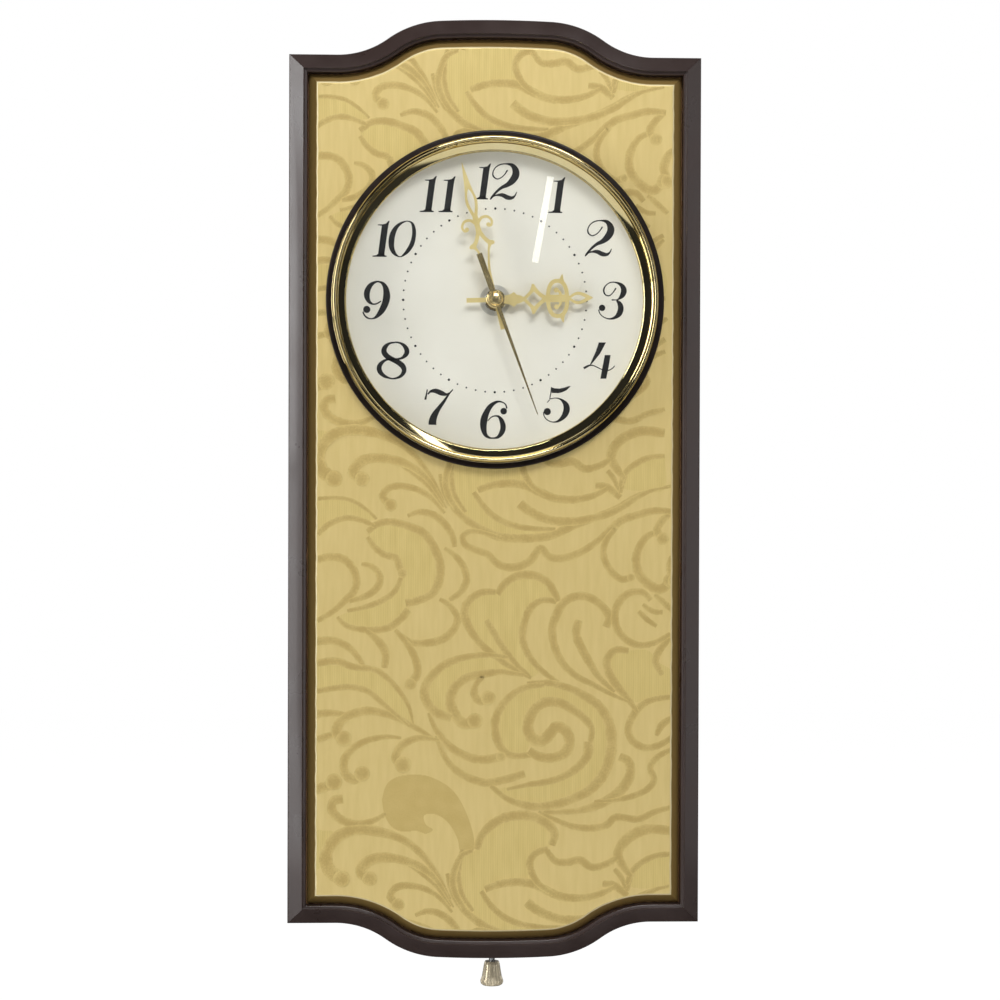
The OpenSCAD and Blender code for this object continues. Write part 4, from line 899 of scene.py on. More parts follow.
# ---------------------------------------------------------------- the case
@dataclass(frozen=True)
class CaseOutline:
    """Outline of the case, which can be inset all round."""

    half_w: float = 103.0
    middle_up: float = -206.8
    shoulder_up: float = 10.0
    crown_rise: float = 18.0
    crest_r: float = 600.0
    crest_half: float = 27.5
    crown_r: float = 49.0
    cove_r: float = 43.0
    cove_steps: int = 22
    crown_steps: int = 26
    crest_steps: int = 12
    side_steps: int = 110

    def half_edge(self, inset: float) -> list[Point]:
        """Right half of the shaped edge.

        Args:
            inset: Distance inside the outline.

        Returns:
            Its points from the shoulder to the crest, up from the shoulder's line.
        """
        tilt = math.asin(self.crest_half / self.crest_r)
        reach = self.crest_r - self.crown_r
        crown = (reach * math.sin(tilt), reach * math.cos(tilt) + self.crown_rise - self.crest_r)
        both = self.crown_r + self.cove_r
        swing = math.acos((self.cove_r - crown[1]) / both)
        cove = (crown[0] + both * math.sin(swing), crown[1] + both * math.cos(swing))
        crest = (0.0, self.crown_rise - self.crest_r)
        points = [(self.half_w - inset, -inset)]
        points += arc(cove, self.cove_r + inset, math.pi, math.pi + swing, self.cove_steps)
        points += arc(crown, self.crown_r - inset, swing, tilt, self.crown_steps)[1:]
        points += arc(crest, self.crest_r - inset, tilt, 0.0, self.crest_steps)[1:]
        return points

    def top_edge(self, inset: float) -> list[Point]:
        """The shaped top edge.

        Args:
            inset: Distance inside the outline.

        Returns:
            Its points from right to left.
        """
        half = self.half_edge(inset)
        rim = half + [(-x, y) for x, y in reversed(half[:-1])]
        return [(x, y + self.shoulder_up) for x, y in rim]

    def bottom_edge(self, inset: float) -> list[Point]:
        """Returns the points of the bottom edge from right to left."""
        return [(x, 2 * self.middle_up - y) for x, y in self.top_edge(inset)]

    def loop(self, inset: float) -> list[Point]:
        """The whole outline.

        Args:
            inset: Distance inside the outline.

        Returns:
            Its points all round, with some down both sides.
        """
        x = self.half_w - inset
        top = self.shoulder_up - inset
        drop = 2 * (self.middle_up - top)
        down = [top + drop * i / self.side_steps for i in range(1, self.side_steps)]
        left = [(-x, y) for y in down]
        right = [(x, y) for y in reversed(down)]
        return self.top_edge(inset) + left + self.bottom_edge(inset)[::-1] + right


@dataclass
class FrameMoulding(Assembly):
    """The lacquered frame: two stiles and two shaped rails, mitred at the corners."""

    outline: CaseOutline = CaseOutline()
    stile_gap: float = 0.05
    rail_gap: float = 0.02
    stile_steps: int = 4
    rod_hole_r: float = 3.05
    rod_hole_steps: int = 64
    rod_hole_ends: Point = (-446.0, -430.0)
    rod_d: float = 34.68
    sharp: float = 28.0
    section: tuple[Point, ...] = (
        (0.35, 0.0), (0.0, 0.35), (0.0, 52.45), (0.06, 52.75), (0.22, 53.02), (0.5, 53.24),
        (0.9, 53.46), (7.16, 57.4), (7.34, 57.48), (7.48, 57.46), (7.57, 57.36), (7.62, 57.15),
        (7.69, 56.45), (7.76, 56.34), (7.92, 56.27), (8.9, 56.05), (9.08, 55.95), (9.17, 55.78),
        (9.2, 55.5), (9.2, 49.0), (6.2, 49.0), (6.2, 4.2), (3.4, 4.2), (3.4, 0.0),
    )

    def _rail(self, name: str, edge: Callable[[float], list[Point]]) -> Piece:
        """Draws one shaped rail.

        Args:
            name: The piece's name.
            edge: Gives the edge of the outline that the rail follows, for an inset.

        Returns:
            The rail.
        """
        edges = [edge(inset) for inset, _ in self.section]
        gaps = {0: -self.rail_gap, len(edges[0]) - 1: self.rail_gap}
        rows = [
            [at(x + gaps.get(i, 0.0), up, d) for (x, up), (_, d) in zip(spots, self.section)]
            for i, spots in enumerate(zip(*edges))
        ]
        return lofted(name, rows, self.sharp, capped=True)

    def _stile(self, name: str, side: int) -> Piece:
        """Draws one straight stile.

        Args:
            name: The piece's name.
            side: The side that it stands on, -1 or 1.

        Returns:
            The stile.
        """
        rows = []
        for step in range(self.stile_steps + 1):
            row = []
            for inset, d in self.section:
                top = self.outline.shoulder_up - inset - self.stile_gap
                fall = 2 * self.outline.middle_up - top - top
                up = top + fall * step / self.stile_steps
                row.append(at(side * (self.outline.half_w - inset), up, d))
            rows.append(row)
        return lofted(name, rows, self.sharp, capped=True)

    def _drill(self, rail: Piece) -> None:
        """Cuts the hole for the rod's bush through the bottom rail.

        Args:
            rail: The rail, which gets a new mesh.
        """
        rim = circle((0.0, self.rod_d), self.rod_hole_r, self.rod_hole_steps)
        rows = [[at(x, up, d) for x, d in rim] for up in self.rod_hole_ends]
        cutter = lofted("bush_hole_cutter", rows, capped=True)
        cut = rail.modifiers.new("bush_hole", "BOOLEAN")
        cut.operation = "DIFFERENCE"
        cut.object = cutter
        cut.solver = "EXACT"
        graph = bpy.context.evaluated_depsgraph_get()
        whole = bpy.data.meshes.new_from_object(rail.evaluated_get(graph))
        rail.modifiers.clear()
        rail.data = whole
        bpy.data.objects.remove(cutter)

    def build(self) -> None:
        """Builds the four mouldings."""
        left = self._stile("left_moulding", -1)
        right = self._stile("right_moulding", 1)
        top = self._rail("top_moulding", self.outline.top_edge)
        low = self._rail("bottom_moulding", self.outline.bottom_edge)
        self._drill(low)
        for made, node in (
            (left, "frame_left_stile"),
            (right, "frame_right_stile"),
            (top, "frame_top_rail"),
            (low, "frame_bottom_rail"),
        ):
            self.fit(made, "case", "lacquer", [node])


@dataclass(frozen=True)
class Scroll:
    """One woven stroke of the brocade, drawn in half millimetres from the drawing's corner."""

    points: tuple[Point, ...]
    widths: tuple[float, float, float]
    ball: float

    def width(self, share: float) -> float:
        """Returns the stroke's width at a share of its length."""
        first, middle, last = self.widths
        return first * (1 - share) ** 3 + middle * 3 * share * (1 - share) + last * share**3


def scroll(*points: Point, w: tuple[float, float, float] = (4, 9, 5), ball: float = 0) -> Scroll:
    """Returns a Scroll through the points given."""
    return Scroll(points, w, ball)


HOOK: tuple[float, float, float] = (3, 9, 10)
SCROLLS: tuple[Scroll, ...] = (
    # the crescent leaf on the left and what grows round it
    scroll((368, 532), (378, 524), (392, 522), (408, 526), (424, 533), (434, 547), (440, 562),
           (440, 578), (434, 592), (420, 600), (406, 603), w=(6, 10, 8)),
    scroll((368, 537), (374, 546), (384, 554), (396, 558), (400, 567), (403, 573), w=(5, 8, 8),
           ball=5),
    scroll((402, 576), (396, 590), (384, 600), (366, 607), (348, 611), w=(5, 7, 4)),
    scroll((338, 617), (348, 626), (368, 630), (388, 628), (400, 620), (409, 610), w=(4, 8, 8)),
    scroll((318, 560), (330, 557), (344, 559), (353, 568), (357, 581), (354, 592), (346, 600),
           (334, 611), (318, 621), w=(8, 9, 5)),
    scroll((362, 564), (371, 566), (379, 573), (380, 583), (373, 592), (362, 598), (350, 601)),
    scroll((318, 534), (330, 524), (346, 518), (361, 520), (375, 526), w=(6, 7, 4)),
    scroll((318, 499), (336, 498), (353, 501), (366, 509), (377, 519), w=(4, 5, 3)),
    scroll((445, 513), (433, 499), (419, 490), (403, 486), (389, 488), (383, 497), (391, 505),
           w=(3, 8, 8), ball=6.5),
    scroll((408, 516), (420, 512), (434, 515), (446, 525), (453, 537), (455, 547), w=(4, 9, 5)),
    scroll((445, 548), (456, 556), (464, 567), (467, 580), (461, 592), (450, 600), w=(4, 9, 5)),
    scroll((440, 599), (451, 606), (458, 618), (454, 630), (443, 639), (428, 643), (412, 642),
           (398, 633), w=(4, 10, 5)),
    scroll((402, 466), (418, 477), (431, 489), (444, 507), w=(3, 5, 3)),
    # the broad leaf under the dial
    scroll((455, 450), (452, 466), (452, 482), (456, 497), (466, 512), w=(5, 6, 4)),
    scroll((440, 474), (444, 490), (452, 505), (466, 519), (482, 529), (502, 537), (528, 538),
           (552, 535), (572, 526), (596, 517), (618, 507), (640, 494), (672, 485),
           w=(4, 11, 3)),
    scroll((474, 492), (482, 504), (494, 516), (510, 524), (530, 528), (556, 529), w=(5, 8, 4)),
    scroll((478, 490), (492, 485), (510, 483), (526, 485), (541, 492), (556, 498), (576, 499),
           (594, 495), (608, 488), w=(7, 10, 5)),
    scroll((541, 450), (530, 453), (523, 462), (525, 474), (533, 486), (547, 495), w=(7, 8, 5)),
    scroll((596, 485), (606, 486), (614, 491), (621, 497), w=(6, 9, 6)),
    scroll((608, 470), (615, 479), (621, 492), w=(5, 6, 4)),
    scroll((628, 470), (624, 480), (621, 492), w=(4, 6, 4)),
    scroll((520, 503), (530, 511), (545, 518), (562, 521), (582, 520), (604, 515), (622, 507),
           (636, 498), (652, 490), (672, 486), w=(10, 9, 2)),
    scroll((604, 536), (588, 548), (574, 555), (560, 558), (549, 556), (541, 548), (531, 560),
           (520, 566), (507, 567), (496, 562), (488, 554), (477, 550), (466, 545), (463, 536),
           (472, 531), (486, 533), (502, 538), w=(7, 9, 4)),
    scroll((602, 538), (612, 528), (624, 519), (640, 514), (656, 510), (674, 511), w=(7, 9, 6)),
    scroll((618, 526), (608, 538), (604, 551), (607, 563), (614, 573), (623, 579), (632, 577),
           w=(5, 8, 7), ball=4),
    scroll((672, 512), (663, 520), (658, 530), (664, 538), w=(5, 9, 8), ball=6.5),
    scroll((660, 531), (648, 536), (640, 547), (637, 560), (640, 573), (650, 584), (662, 589),
           (672, 580), w=(5, 10, 10), ball=7.5),
    scroll((690, 545), (678, 552), (672, 566), (676, 580), w=(4, 10, 9), ball=7),
    # the tulip and its petals
    scroll((532, 678), (512, 667), (492, 653), (478, 640), (468, 624), (465, 609), (472, 598),
           (484, 592), (496, 592), w=(4, 10, 6)),
    scroll((498, 594), (506, 583), (518, 576), (533, 575), (547, 581), (555, 592), (559, 601),
           w=(7, 10, 6)),
    scroll((557, 601), (543, 600), (532, 607), (526, 619), (523, 634), (526, 649), (535, 663),
           (548, 675), (562, 684), w=(6, 9, 4)),
    scroll((487, 620), (494, 632), (501, 643), (509, 655), (519, 666), (531, 676), w=(7, 8, 3)),
    scroll((607, 627), (610, 616), (602, 605), (590, 597), (577, 596), (565, 602), (557, 615),
           (553, 630), (556, 648), (565, 665), (579, 677), (595, 685), (612, 694), (630, 702),
           w=(8, 10, 3)),
    scroll((580, 620), (577, 634), (583, 649), (591, 663), (601, 678), (616, 692), w=(8, 10, 3)),
    scroll((652, 600), (644, 592), (632, 592), (622, 599), (616, 613), (618, 628), (627, 639),
           (640, 645), (655, 643), (672, 634), w=(6, 9, 5)),
    scroll((640, 611), (648, 619), (658, 626), w=(5, 6, 4)),
    scroll((644, 604), (654, 611), (664, 612), w=(4, 6, 5)),
    scroll((656, 594), (665, 602), (676, 612), w=(4, 7, 5)),
    scroll((630, 651), (617, 650), (608, 660), (611, 674), (620, 688), (631, 701), (639, 712),
           w=(7, 10, 4)),
    scroll((672, 638), (661, 650), (657, 662), (664, 675), w=(4, 9, 5)),
    scroll((674, 697), (658, 699), (645, 704), (635, 715), (630, 729), (634, 741), (646, 748),
           (660, 746), (674, 738), w=(5, 9, 6)),
    scroll((676, 717), (664, 725), (658, 736), w=(4, 9, 4)),
    # the great spiral
    scroll((528, 684), (548, 683), (566, 687), (584, 695), (600, 706), (610, 722), (613, 740),
           (611, 760), (603, 778), (590, 791), (572, 800), (550, 806), (528, 806), (508, 799),
           (492, 786), w=(5, 13, 5)),
    scroll((532, 755), (514, 756), (503, 749), (497, 736), (496, 721), (502, 707), (513, 695),
           (528, 687), (545, 685), w=(6, 10, 5)),
    scroll((592, 742), (593, 729), (585, 718), (573, 709), (561, 703), (548, 702), (538, 707),
           (531, 717), (529, 729), (534, 739), (544, 741), (551, 734), (558, 727), (567, 731),
           (571, 743), (566, 753), (555, 758), (541, 757), (530, 751), w=(6, 13, 9)),
    scroll((590, 742), (589, 755), (580, 767), (567, 776), (550, 782), (530, 785), (508, 790),
           w=(11, 9, 3)),
    scroll((621, 757), (630, 762), (632, 775), (624, 789), (612, 799), (596, 807), (575, 812),
           (545, 813), w=(8, 12, 3)),
    scroll((674, 750), (660, 757), (652, 768), (656, 780), (649, 790), (634, 797), (615, 801),
           (596, 802), w=(5, 8, 3)),
    # the double leaf that curls into the spiral
    scroll((524, 675), (503, 672), (484, 674), (467, 678), (455, 688), (451, 701), (456, 715),
           (465, 724), (476, 721), w=(4, 11, 11), ball=8),
    scroll((508, 657), (486, 655), (463, 658), (445, 665), (432, 677), (425, 690), (428, 703),
           (438, 713), (452, 718), w=(4, 10, 9)),
    scroll((486, 675), (477, 684), (475, 694), (481, 701), (489, 698), w=(3, 9, 9), ball=7.5),
    scroll((429, 713), (437, 730), (449, 745), (464, 755), (482, 760), (502, 757), w=(3, 9, 9),
           ball=5),
    scroll((437, 736), (443, 752), (453, 767), (468, 777), (486, 783), (506, 780), (526, 774),
           w=(3, 9, 8)),
    # the left side below the crescent
    scroll((318, 641), (336, 641), (350, 648), (359, 658), (366, 669), w=(9, 8, 3)),
    scroll((366, 630), (378, 640), (386, 653), (385, 668), w=(4, 10, 6)),
    scroll((396, 630), (408, 644), (416, 659), (418, 673), (411, 684), w=(4, 9, 8), ball=6),
    scroll((318, 663), (338, 661), (354, 667), (376, 670), (390, 680), (402, 694), (410, 708),
           (414, 724), w=(8, 7, 2)),
    scroll((318, 691), (336, 688), (352, 687), (368, 691), (382, 702), (395, 713), (410, 726),
           w=(6, 7, 3)),
    scroll((438, 741), (422, 731), (406, 722), (390, 715), (371, 711), (353, 714), (341, 722),
           (337, 733), (345, 739), w=HOOK, ball=8),
    scroll((318, 714), (332, 713), (348, 715), w=(9, 7, 5)),
    scroll((318, 740), (328, 736), (340, 734), w=(8, 7, 5)),
    scroll((402, 738), (385, 737), (367, 741), (353, 749), (345, 761), (346, 773), (355, 780),
           (363, 774), w=HOOK, ball=8),
    scroll((440, 740), (422, 738), (408, 742), (399, 750), (397, 759), (404, 765), w=HOOK,
           ball=8.5),
    scroll((316, 790), (326, 787), (335, 782), w=(10, 11, 9), ball=8.5),
    scroll((344, 799), (335, 801), (333, 810), (341, 819), (356, 824), (372, 822), (387, 814),
           w=(9, 10, 4)),
    # the stems of the next repeat
    scroll((452, 900), (439, 876), (422, 854), (404, 840), (384, 833), (364, 830), (346, 833),
           (333, 843), (327, 857), (331, 871), (343, 879), w=(2, 12, 14), ball=8.5),
    scroll((455, 908), (438, 881), (421, 867), (402, 860), (384, 858), (369, 862), (362, 872),
           (371, 879), w=(2, 11, 12), ball=7.5),
    scroll((474, 851), (463, 856), (457, 868), (454, 882), (457, 895), (465, 909), w=(4, 8, 5)),
    scroll((478, 850), (482, 838), (491, 827), (504, 819), (520, 816), (536, 818), (549, 825),
           (556, 834), (553, 846), w=(7, 11, 8)),
    scroll((548, 851), (557, 862), (570, 863), (582, 861), (593, 868), (606, 866), (619, 859),
           w=(6, 9, 6)),
    scroll((674, 832), (652, 830), (636, 835), (625, 844), (620, 856), (626, 868), (633, 877),
           w=(9, 12, 5)),
    scroll((674, 855), (658, 857), (645, 863), (634, 873), (629, 886), w=(5, 7, 5)),
    scroll((540, 812), (556, 820), (574, 827), (592, 829), (608, 826), (618, 818), (640, 820),
           (656, 813), (674, 808), w=(3, 9, 5)),
)
LEAVES: tuple[tuple[Point, ...], ...] = (
    ((318, 499), (340, 498), (355, 502), (368, 511), (377, 519), (363, 521), (346, 518),
     (330, 524), (318, 534)),
    ((368, 534), (380, 524), (400, 523), (424, 533), (437, 553), (440, 575), (432, 594),
     (408, 604), (409, 611), (392, 627), (368, 630), (348, 626), (338, 617), (366, 607),
     (388, 598), (402, 578), (398, 560), (380, 552)),
    ((446, 470), (462, 455), (500, 450), (525, 455), (525, 476), (534, 487), (515, 483),
     (495, 484), (476, 490), (484, 505), (505, 522), (535, 529), (556, 530), (530, 538),
     (490, 532), (460, 515), (447, 495)),
    ((470, 600), (485, 591), (500, 590), (512, 580), (530, 577), (545, 583), (552, 598),
     (535, 606), (525, 622), (524, 637), (528, 652), (540, 668), (532, 677), (510, 665),
     (490, 650), (475, 632), (467, 612)),
    ((622, 652), (612, 655), (612, 672), (622, 688), (636, 702), (660, 698), (674, 692),
     (674, 672), (660, 662), (648, 650)),
    ((500, 750), (496, 725), (504, 704), (524, 688), (548, 685), (580, 695), (604, 714),
     (612, 740), (608, 768), (594, 788), (570, 800), (545, 806), (518, 803), (500, 790),
     (530, 785), (560, 778), (584, 762), (592, 742), (588, 724), (572, 709), (552, 702),
     (536, 708), (530, 722), (532, 738), (524, 755)),
    ((506, 658), (465, 660), (440, 670), (427, 690), (434, 709), (452, 718), (456, 714),
     (451, 700), (456, 687), (470, 678), (492, 673), (520, 674)),
    ((318, 664), (352, 667), (376, 671), (392, 683), (404, 699), (412, 722), (396, 712),
     (380, 700), (364, 690), (345, 687), (318, 690)),
    ((318, 830), (340, 832), (348, 835), (334, 846), (327, 860), (318, 868)),
    ((458, 868), (466, 855), (478, 850), (486, 833), (504, 820), (530, 817), (552, 828),
     (556, 840), (548, 850), (534, 856), (531, 868), (538, 882), (520, 884), (500, 884),
     (484, 892), (490, 905), (470, 915), (456, 895)),
    ((674, 857), (655, 859), (640, 869), (630, 886), (650, 890), (674, 888)),
)
BULB: tuple[Point, ...] = (
    (383, 800), (387, 786), (396, 778), (411, 775), (427, 776), (442, 782), (454, 791),
    (463, 804), (470, 820), (475, 838), (474, 852), (462, 852), (459, 840), (453, 828),
    (445, 819), (434, 814), (425, 816), (427, 825), (434, 830), (427, 834), (417, 831),
    (405, 832), (394, 828), (386, 816),
)


@dataclass
class BrocadePanel(Assembly):
    """The padded front panel in gold brocade, with its woven scrolls, leaves and bulbs.

    The padding is its rolled edge, as shares of the roll's width and drop. The figures'
    drawing starts at the corner, in units of about half a millimetre, and comes back at
    each repeat. Every figure lies a layer above the one before, so that no two share a
    plane. A wave is given as its size and its rate.
    """

    outline: CaseOutline = CaseOutline()
    inset: float = 9.8
    roll_w: float = 4.8
    roll_drop: float = 4.4
    hole_r: float = 80.5
    hole_steps: int = 256
    sharp: float = 50.0
    padding: tuple[Point, ...] = (
        (0.0, 1.0), (0.015, 0.93), (0.06, 0.855), (0.2, 0.7), (0.36, 0.545), (0.52, 0.395),
        (0.68, 0.25), (0.78, 0.165), (0.84, 0.115), (0.88, 0.08), (0.915, 0.05), (0.945, 0.027),
        (0.97, 0.012), (1.0, 0.0), (1.1, 0.0),
    )
    pad_waves: tuple[tuple[float, ...], ...] = ((0.13, 0.31, 0.2, 0.0), (0.1, 0.83, 0.57, 1.0))
    # Shares of the roll's drop that bound the painted highlight and the painted shade on its
    # edge.
    painted_highlight_fall: float = 0.02
    painted_shade_fall: float = 0.1
    painted_shade_blend: float = 0.04
    flat_margin: float = 0.2
    ring_margin: float = 2.0
    reach_step: float = 0.5
    held_reach: float = 1e-9
    corner: Point = (-247.0, 37.6)
    unit: float = 0.499
    repeat: Point = (8.5, 400.0)
    shifts: tuple[int, ...] = (-2, -1, 0, 1)
    drawn: Point = (-440.0, 25.0)
    scroll_lift: float = 0.06
    leaf_lift: float = 0.01
    bulb_lift: float = 0.056
    ball_lift: float = 0.03
    layer: float = 0.001
    climb: float = 0.0002
    stroke_steps: int = 6
    ribbon: tuple[float, ...] = (-0.5, -0.3, 0.0, 0.3, 0.5)
    ribbon_waves: tuple[Point, Point] = ((0.05, 1.1), (0.03, 4.7))
    ball_rings: tuple[float, ...] = (0.02, 0.55, 1.0)
    ball_steps: int = 24
    ball_wave: Point = (0.02, 3.0)
    rim_tone: float = 1.7
    leaf_steps: int = 5
    thread: float = 0.4
    least_thread: float = 0.2

    def _wobble(self, x: float, up: float) -> float:
        """Small unevenness of the padding's edge, in millimetres."""
        return sum(a * math.sin(b * up + c * x + start) for a, b, c, start in self.pad_waves)

    def _painted_roll_light(self, fall: float) -> float:
        """Painted light at one place of the rolled edge.

        Args:
            fall: Share of the roll's drop by which the cloth lies low.

        Returns:
            Up to 1 for painted shade where it turns down, -1 for a painted highlight just before
            it lies flat, and 0 where it lies flat.
        """
        if fall > self.painted_shade_fall:
            return min((fall - self.painted_shade_fall) / self.painted_shade_blend, 1.0)
        return -1.0 if fall > self.painted_highlight_fall else 0.0

    def _pad(self) -> Piece:
        """Draws the panel with its rolled edge and the hole for the dial.

        Returns:
            The panel, with an attribute that marks painted shade down its rolled edge and a
            painted highlight where the roll meets the flat.
        """
        rows = [[at(x, y, BOARD_D) for x, y in self.outline.loop(self.inset)]]
        for share, fall in self.padding:
            row = []
            for x, y in self.outline.loop(self.inset + self.roll_w * share):
                push = min(share, 1.0) ** 2 * self._wobble(x, y)
                side = -1 if x < 0 else 1
                row.append(at(x - side * push, y, PANEL_D - self.roll_drop * fall))
            rows.append(row)
        draft = Draft()
        draft.loft(rows)
        count, wide = len(rows[0]), self.hole_steps
        last, start = (len(rows) - 1) * count, len(rows) * count
        hole = circle((0.0, DIAL_UP), self.hole_r, wide)
        draft.loft([[at(x, up, d) for x, up in hole] for d in (PANEL_D, BOARD_D)])
        mesh = draft.mesh("brocade_panel")
        work = bmesh.new()
        work.from_mesh(mesh)
        work.verts.ensure_lookup_table()
        for outer, inner in ((last, start), (0, start + wide)):
            rim = [
                work.edges.get((work.verts[first + k], work.verts[first + (k + 1) % size]))
                for first, size in ((outer, count), (inner, wide))
                for k in range(size)
            ]
            bmesh.ops.triangle_fill(work, edges=rim, use_beauty=True)
        settle(work, mesh, self.sharp)
        # Marks where the rolled edge gets painted shade and where it gets a painted highlight.
        falls = [(PANEL_D + spot.co.y / MM) / self.roll_drop for spot in mesh.vertices]
        layer = mesh.attributes.new("painted_shade_and_highlight", "FLOAT", "POINT")
        layer.data.foreach_set("value", [self._painted_roll_light(fall) for fall in falls])
        return linked("brocade_panel", mesh)

    @property
    def _flat_inset(self) -> float:
        """Distance inside the outline from which the cloth lies flat."""
        return self.inset + self.roll_w + self.flat_margin

    @cached_property
    def _flat_edge(self) -> list[Point]:
        """Right half of the flat cloth's shaped edge, up from the shoulder's line."""
        return self.outline.half_edge(self._flat_inset)

    def _rise(self, x: float) -> float:
        """Height of the flat cloth's shaped edge above the shoulder's line.

        Args:
            x: The place across, to the right of the middle line.

        Returns:
            The height there.
        """
        edge = self._flat_edge
        for (x0, y0), (x1, y1) in zip(edge, edge[1:]):
            if x1 <= x <= x0:
                share = (x - x1) / (x0 - x1) if x0 > x1 else 0.0
                return y1 + (y0 - y1) * share
        return edge[-1][1]

    def _reach(self, up: float) -> Point:
        """Nearest and furthest distance from the middle line at which the cloth lies flat.

        Args:
            up: The height.

        Returns:
            The distance of the dial's ring and that of the rolled edge, both 0 off the panel.
        """
        high = abs(up - self.outline.middle_up) + self.outline.middle_up
        half = self.outline.half_w - self._flat_inset
        while half > 0 and self.outline.shoulder_up + self._rise(half) < high:
            half -= self.reach_step
        chord = (self.hole_r + self.ring_margin) ** 2 - (up - DIAL_UP) ** 2
        return math.sqrt(chord) if chord > 0 else 0.0, max(half, 0.0)

    def _held(self, x: float, up: float) -> tuple[float, float, bool]:
        """Nearest place on the flat cloth.

        Args:
            x: The place across.
            up: Its height.

        Returns:
            The nearest place's x and up, and whether the place given is on the cloth.
        """
        half = self.outline.half_w - self._flat_inset
        held_x = max(-half, min(half, x))
        top = self.outline.shoulder_up + self._rise(abs(held_x))
        held = max(2 * self.outline.middle_up - top, min(top, up))
        away = math.hypot(held_x, held - DIAL_UP)
        least = self.hole_r + self.ring_margin
        if 0 < away < least:
            held_x, held = held_x * least / away, DIAL_UP + (held - DIAL_UP) * least / away
        return held_x, held, abs(held_x - x) + abs(held - up) < self.held_reach

    def _place(self, point: Sequence[float], shift: int) -> Point:
        """Turns a point of the drawing, in one of its repeats, into x and up."""
        across, down = point[0] + shift * self.repeat[0], point[1] + shift * self.repeat[1]
        return self.corner[0] + across * self.unit, self.corner[1] - down * self.unit

    def _tone(self, share: float) -> float:
        """Returns the tone at a share of the way from a figure's middle to its rim."""
        return min(1.0, self.rim_tone - self.rim_tone * share)

    def _rows(self, corners: list[tuple], wide: int, d: float, draft: Draft, tones: list) -> None:
        """Adds a band of quads, without those that lie off the flat cloth.

        Each row lies a little further out than the one before, so that a figure which
        crosses itself has no faces in one plane.

        Args:
            corners: Rows of x, up and tone, one after another.
            wide: Corners in one row.
            d: Distance from the wall.
            draft: The draft that the band goes into.
            tones: The tone of every corner of the draft.
        """
        held = [self._held(x, up) for x, up, _ in corners]
        rows = grid(len(corners) // wide, wide, False, False)
        faces = [face for face in rows if any(held[c][2] for c in face)]
        used = sorted({c for face in faces for c in face})
        place = {c: n for n, c in enumerate(used)}
        draft.add(
            [at(held[c][0], held[c][1], d + self.climb * (c // wide)) for c in used],
            [tuple(place[c] for c in face) for face in faces],
        )
        tones.extend(corners[c][2] for c in used)

    def _draw(self, stroke: Scroll, shift: int, d: float, draft: Draft, tones: list) -> None:
        """Adds one stroke as a ribbon of changing width, and the ball at its end.

        Args:
            stroke: The stroke.
            shift: Number of the drawing's repeat.
            d: Distance from the wall.
            draft: The draft that it goes into.
            tones: The tone of every corner of the draft.
        """
        spots = [self._place(p, shift) for p in eased(stroke.points, self.stroke_steps)]
        ups = [up for _, up in spots]
        if max(ups) < self.drawn[0] or min(ups) > self.drawn[1]:
            return
        (rough, slow), (fine, quick) = self.ribbon_waves
        corners = []
        for i, (x, y) in enumerate(spots):
            nx, ny = square_to(spots, i)
            uneven = 1 + rough * math.sin(slow * i + x) + fine * math.sin(quick * i + y)
            width = stroke.width(i / (len(spots) - 1)) * (self.unit * uneven)
            for side in self.ribbon:
                place = (x + nx * width * side, y + ny * width * side)
                corners.append((*place, self._tone(2 * abs(side))))
        self._rows(corners, len(self.ribbon), d, draft, tones)
        if stroke.ball:
            x, y = spots[-1]
            uneven, lobes = self.ball_wave
            disc = []
            for share in self.ball_rings:
                for i in range(self.ball_steps + 1):
                    a = math.tau * i / self.ball_steps
                    wave = 1 + uneven * math.sin(lobes * a + x)
                    reach = stroke.ball * self.unit * share * wave
                    place = (x + reach * math.sin(a), y + reach * math.cos(a))
                    disc.append((*place, self._tone(share)))
            self._rows(disc, self.ball_steps + 1, d + self.ball_lift, draft, tones)

    def _fill(self, leaf: Sequence[Point], shift: int, d: float, draft: Draft) -> None:
        """Fills a leaf with rows of thread, as a loom lays them.

        Args:
            leaf: The leaf's outline in the drawing.
            shift: Number of the drawing's repeat.
            d: Distance from the wall.
            draft: The draft that the threads go into.
        """
        line = [self._place(p, shift) for p in eased([*leaf, leaf[0]], self.leaf_steps)]
        up = max(y for _, y in line)
        while up > min(y for _, y in line):
            row = up - self.thread / 2
            cuts = sorted(
                x0 + (x1 - x0) * (row - y0) / (y1 - y0)
                for (x0, y0), (x1, y1) in zip(line, line[1:])
                if (y0 > row) != (y1 > row)
            )
            near, far = self._reach(row)
            for start, end in zip(cuts[::2], cuts[1::2]):
                for low, high in ((-far, -near), (near, far)):
                    left, right = max(start, low), min(end, high)
                    if right - left > self.least_thread:
                        under = up - self.thread
                        corners = ((left, up), (right, up), (right, under), (left, under))
                        draft.add([at(*c, d) for c in corners], [(0, 1, 2, 3)])
            up -= self.thread

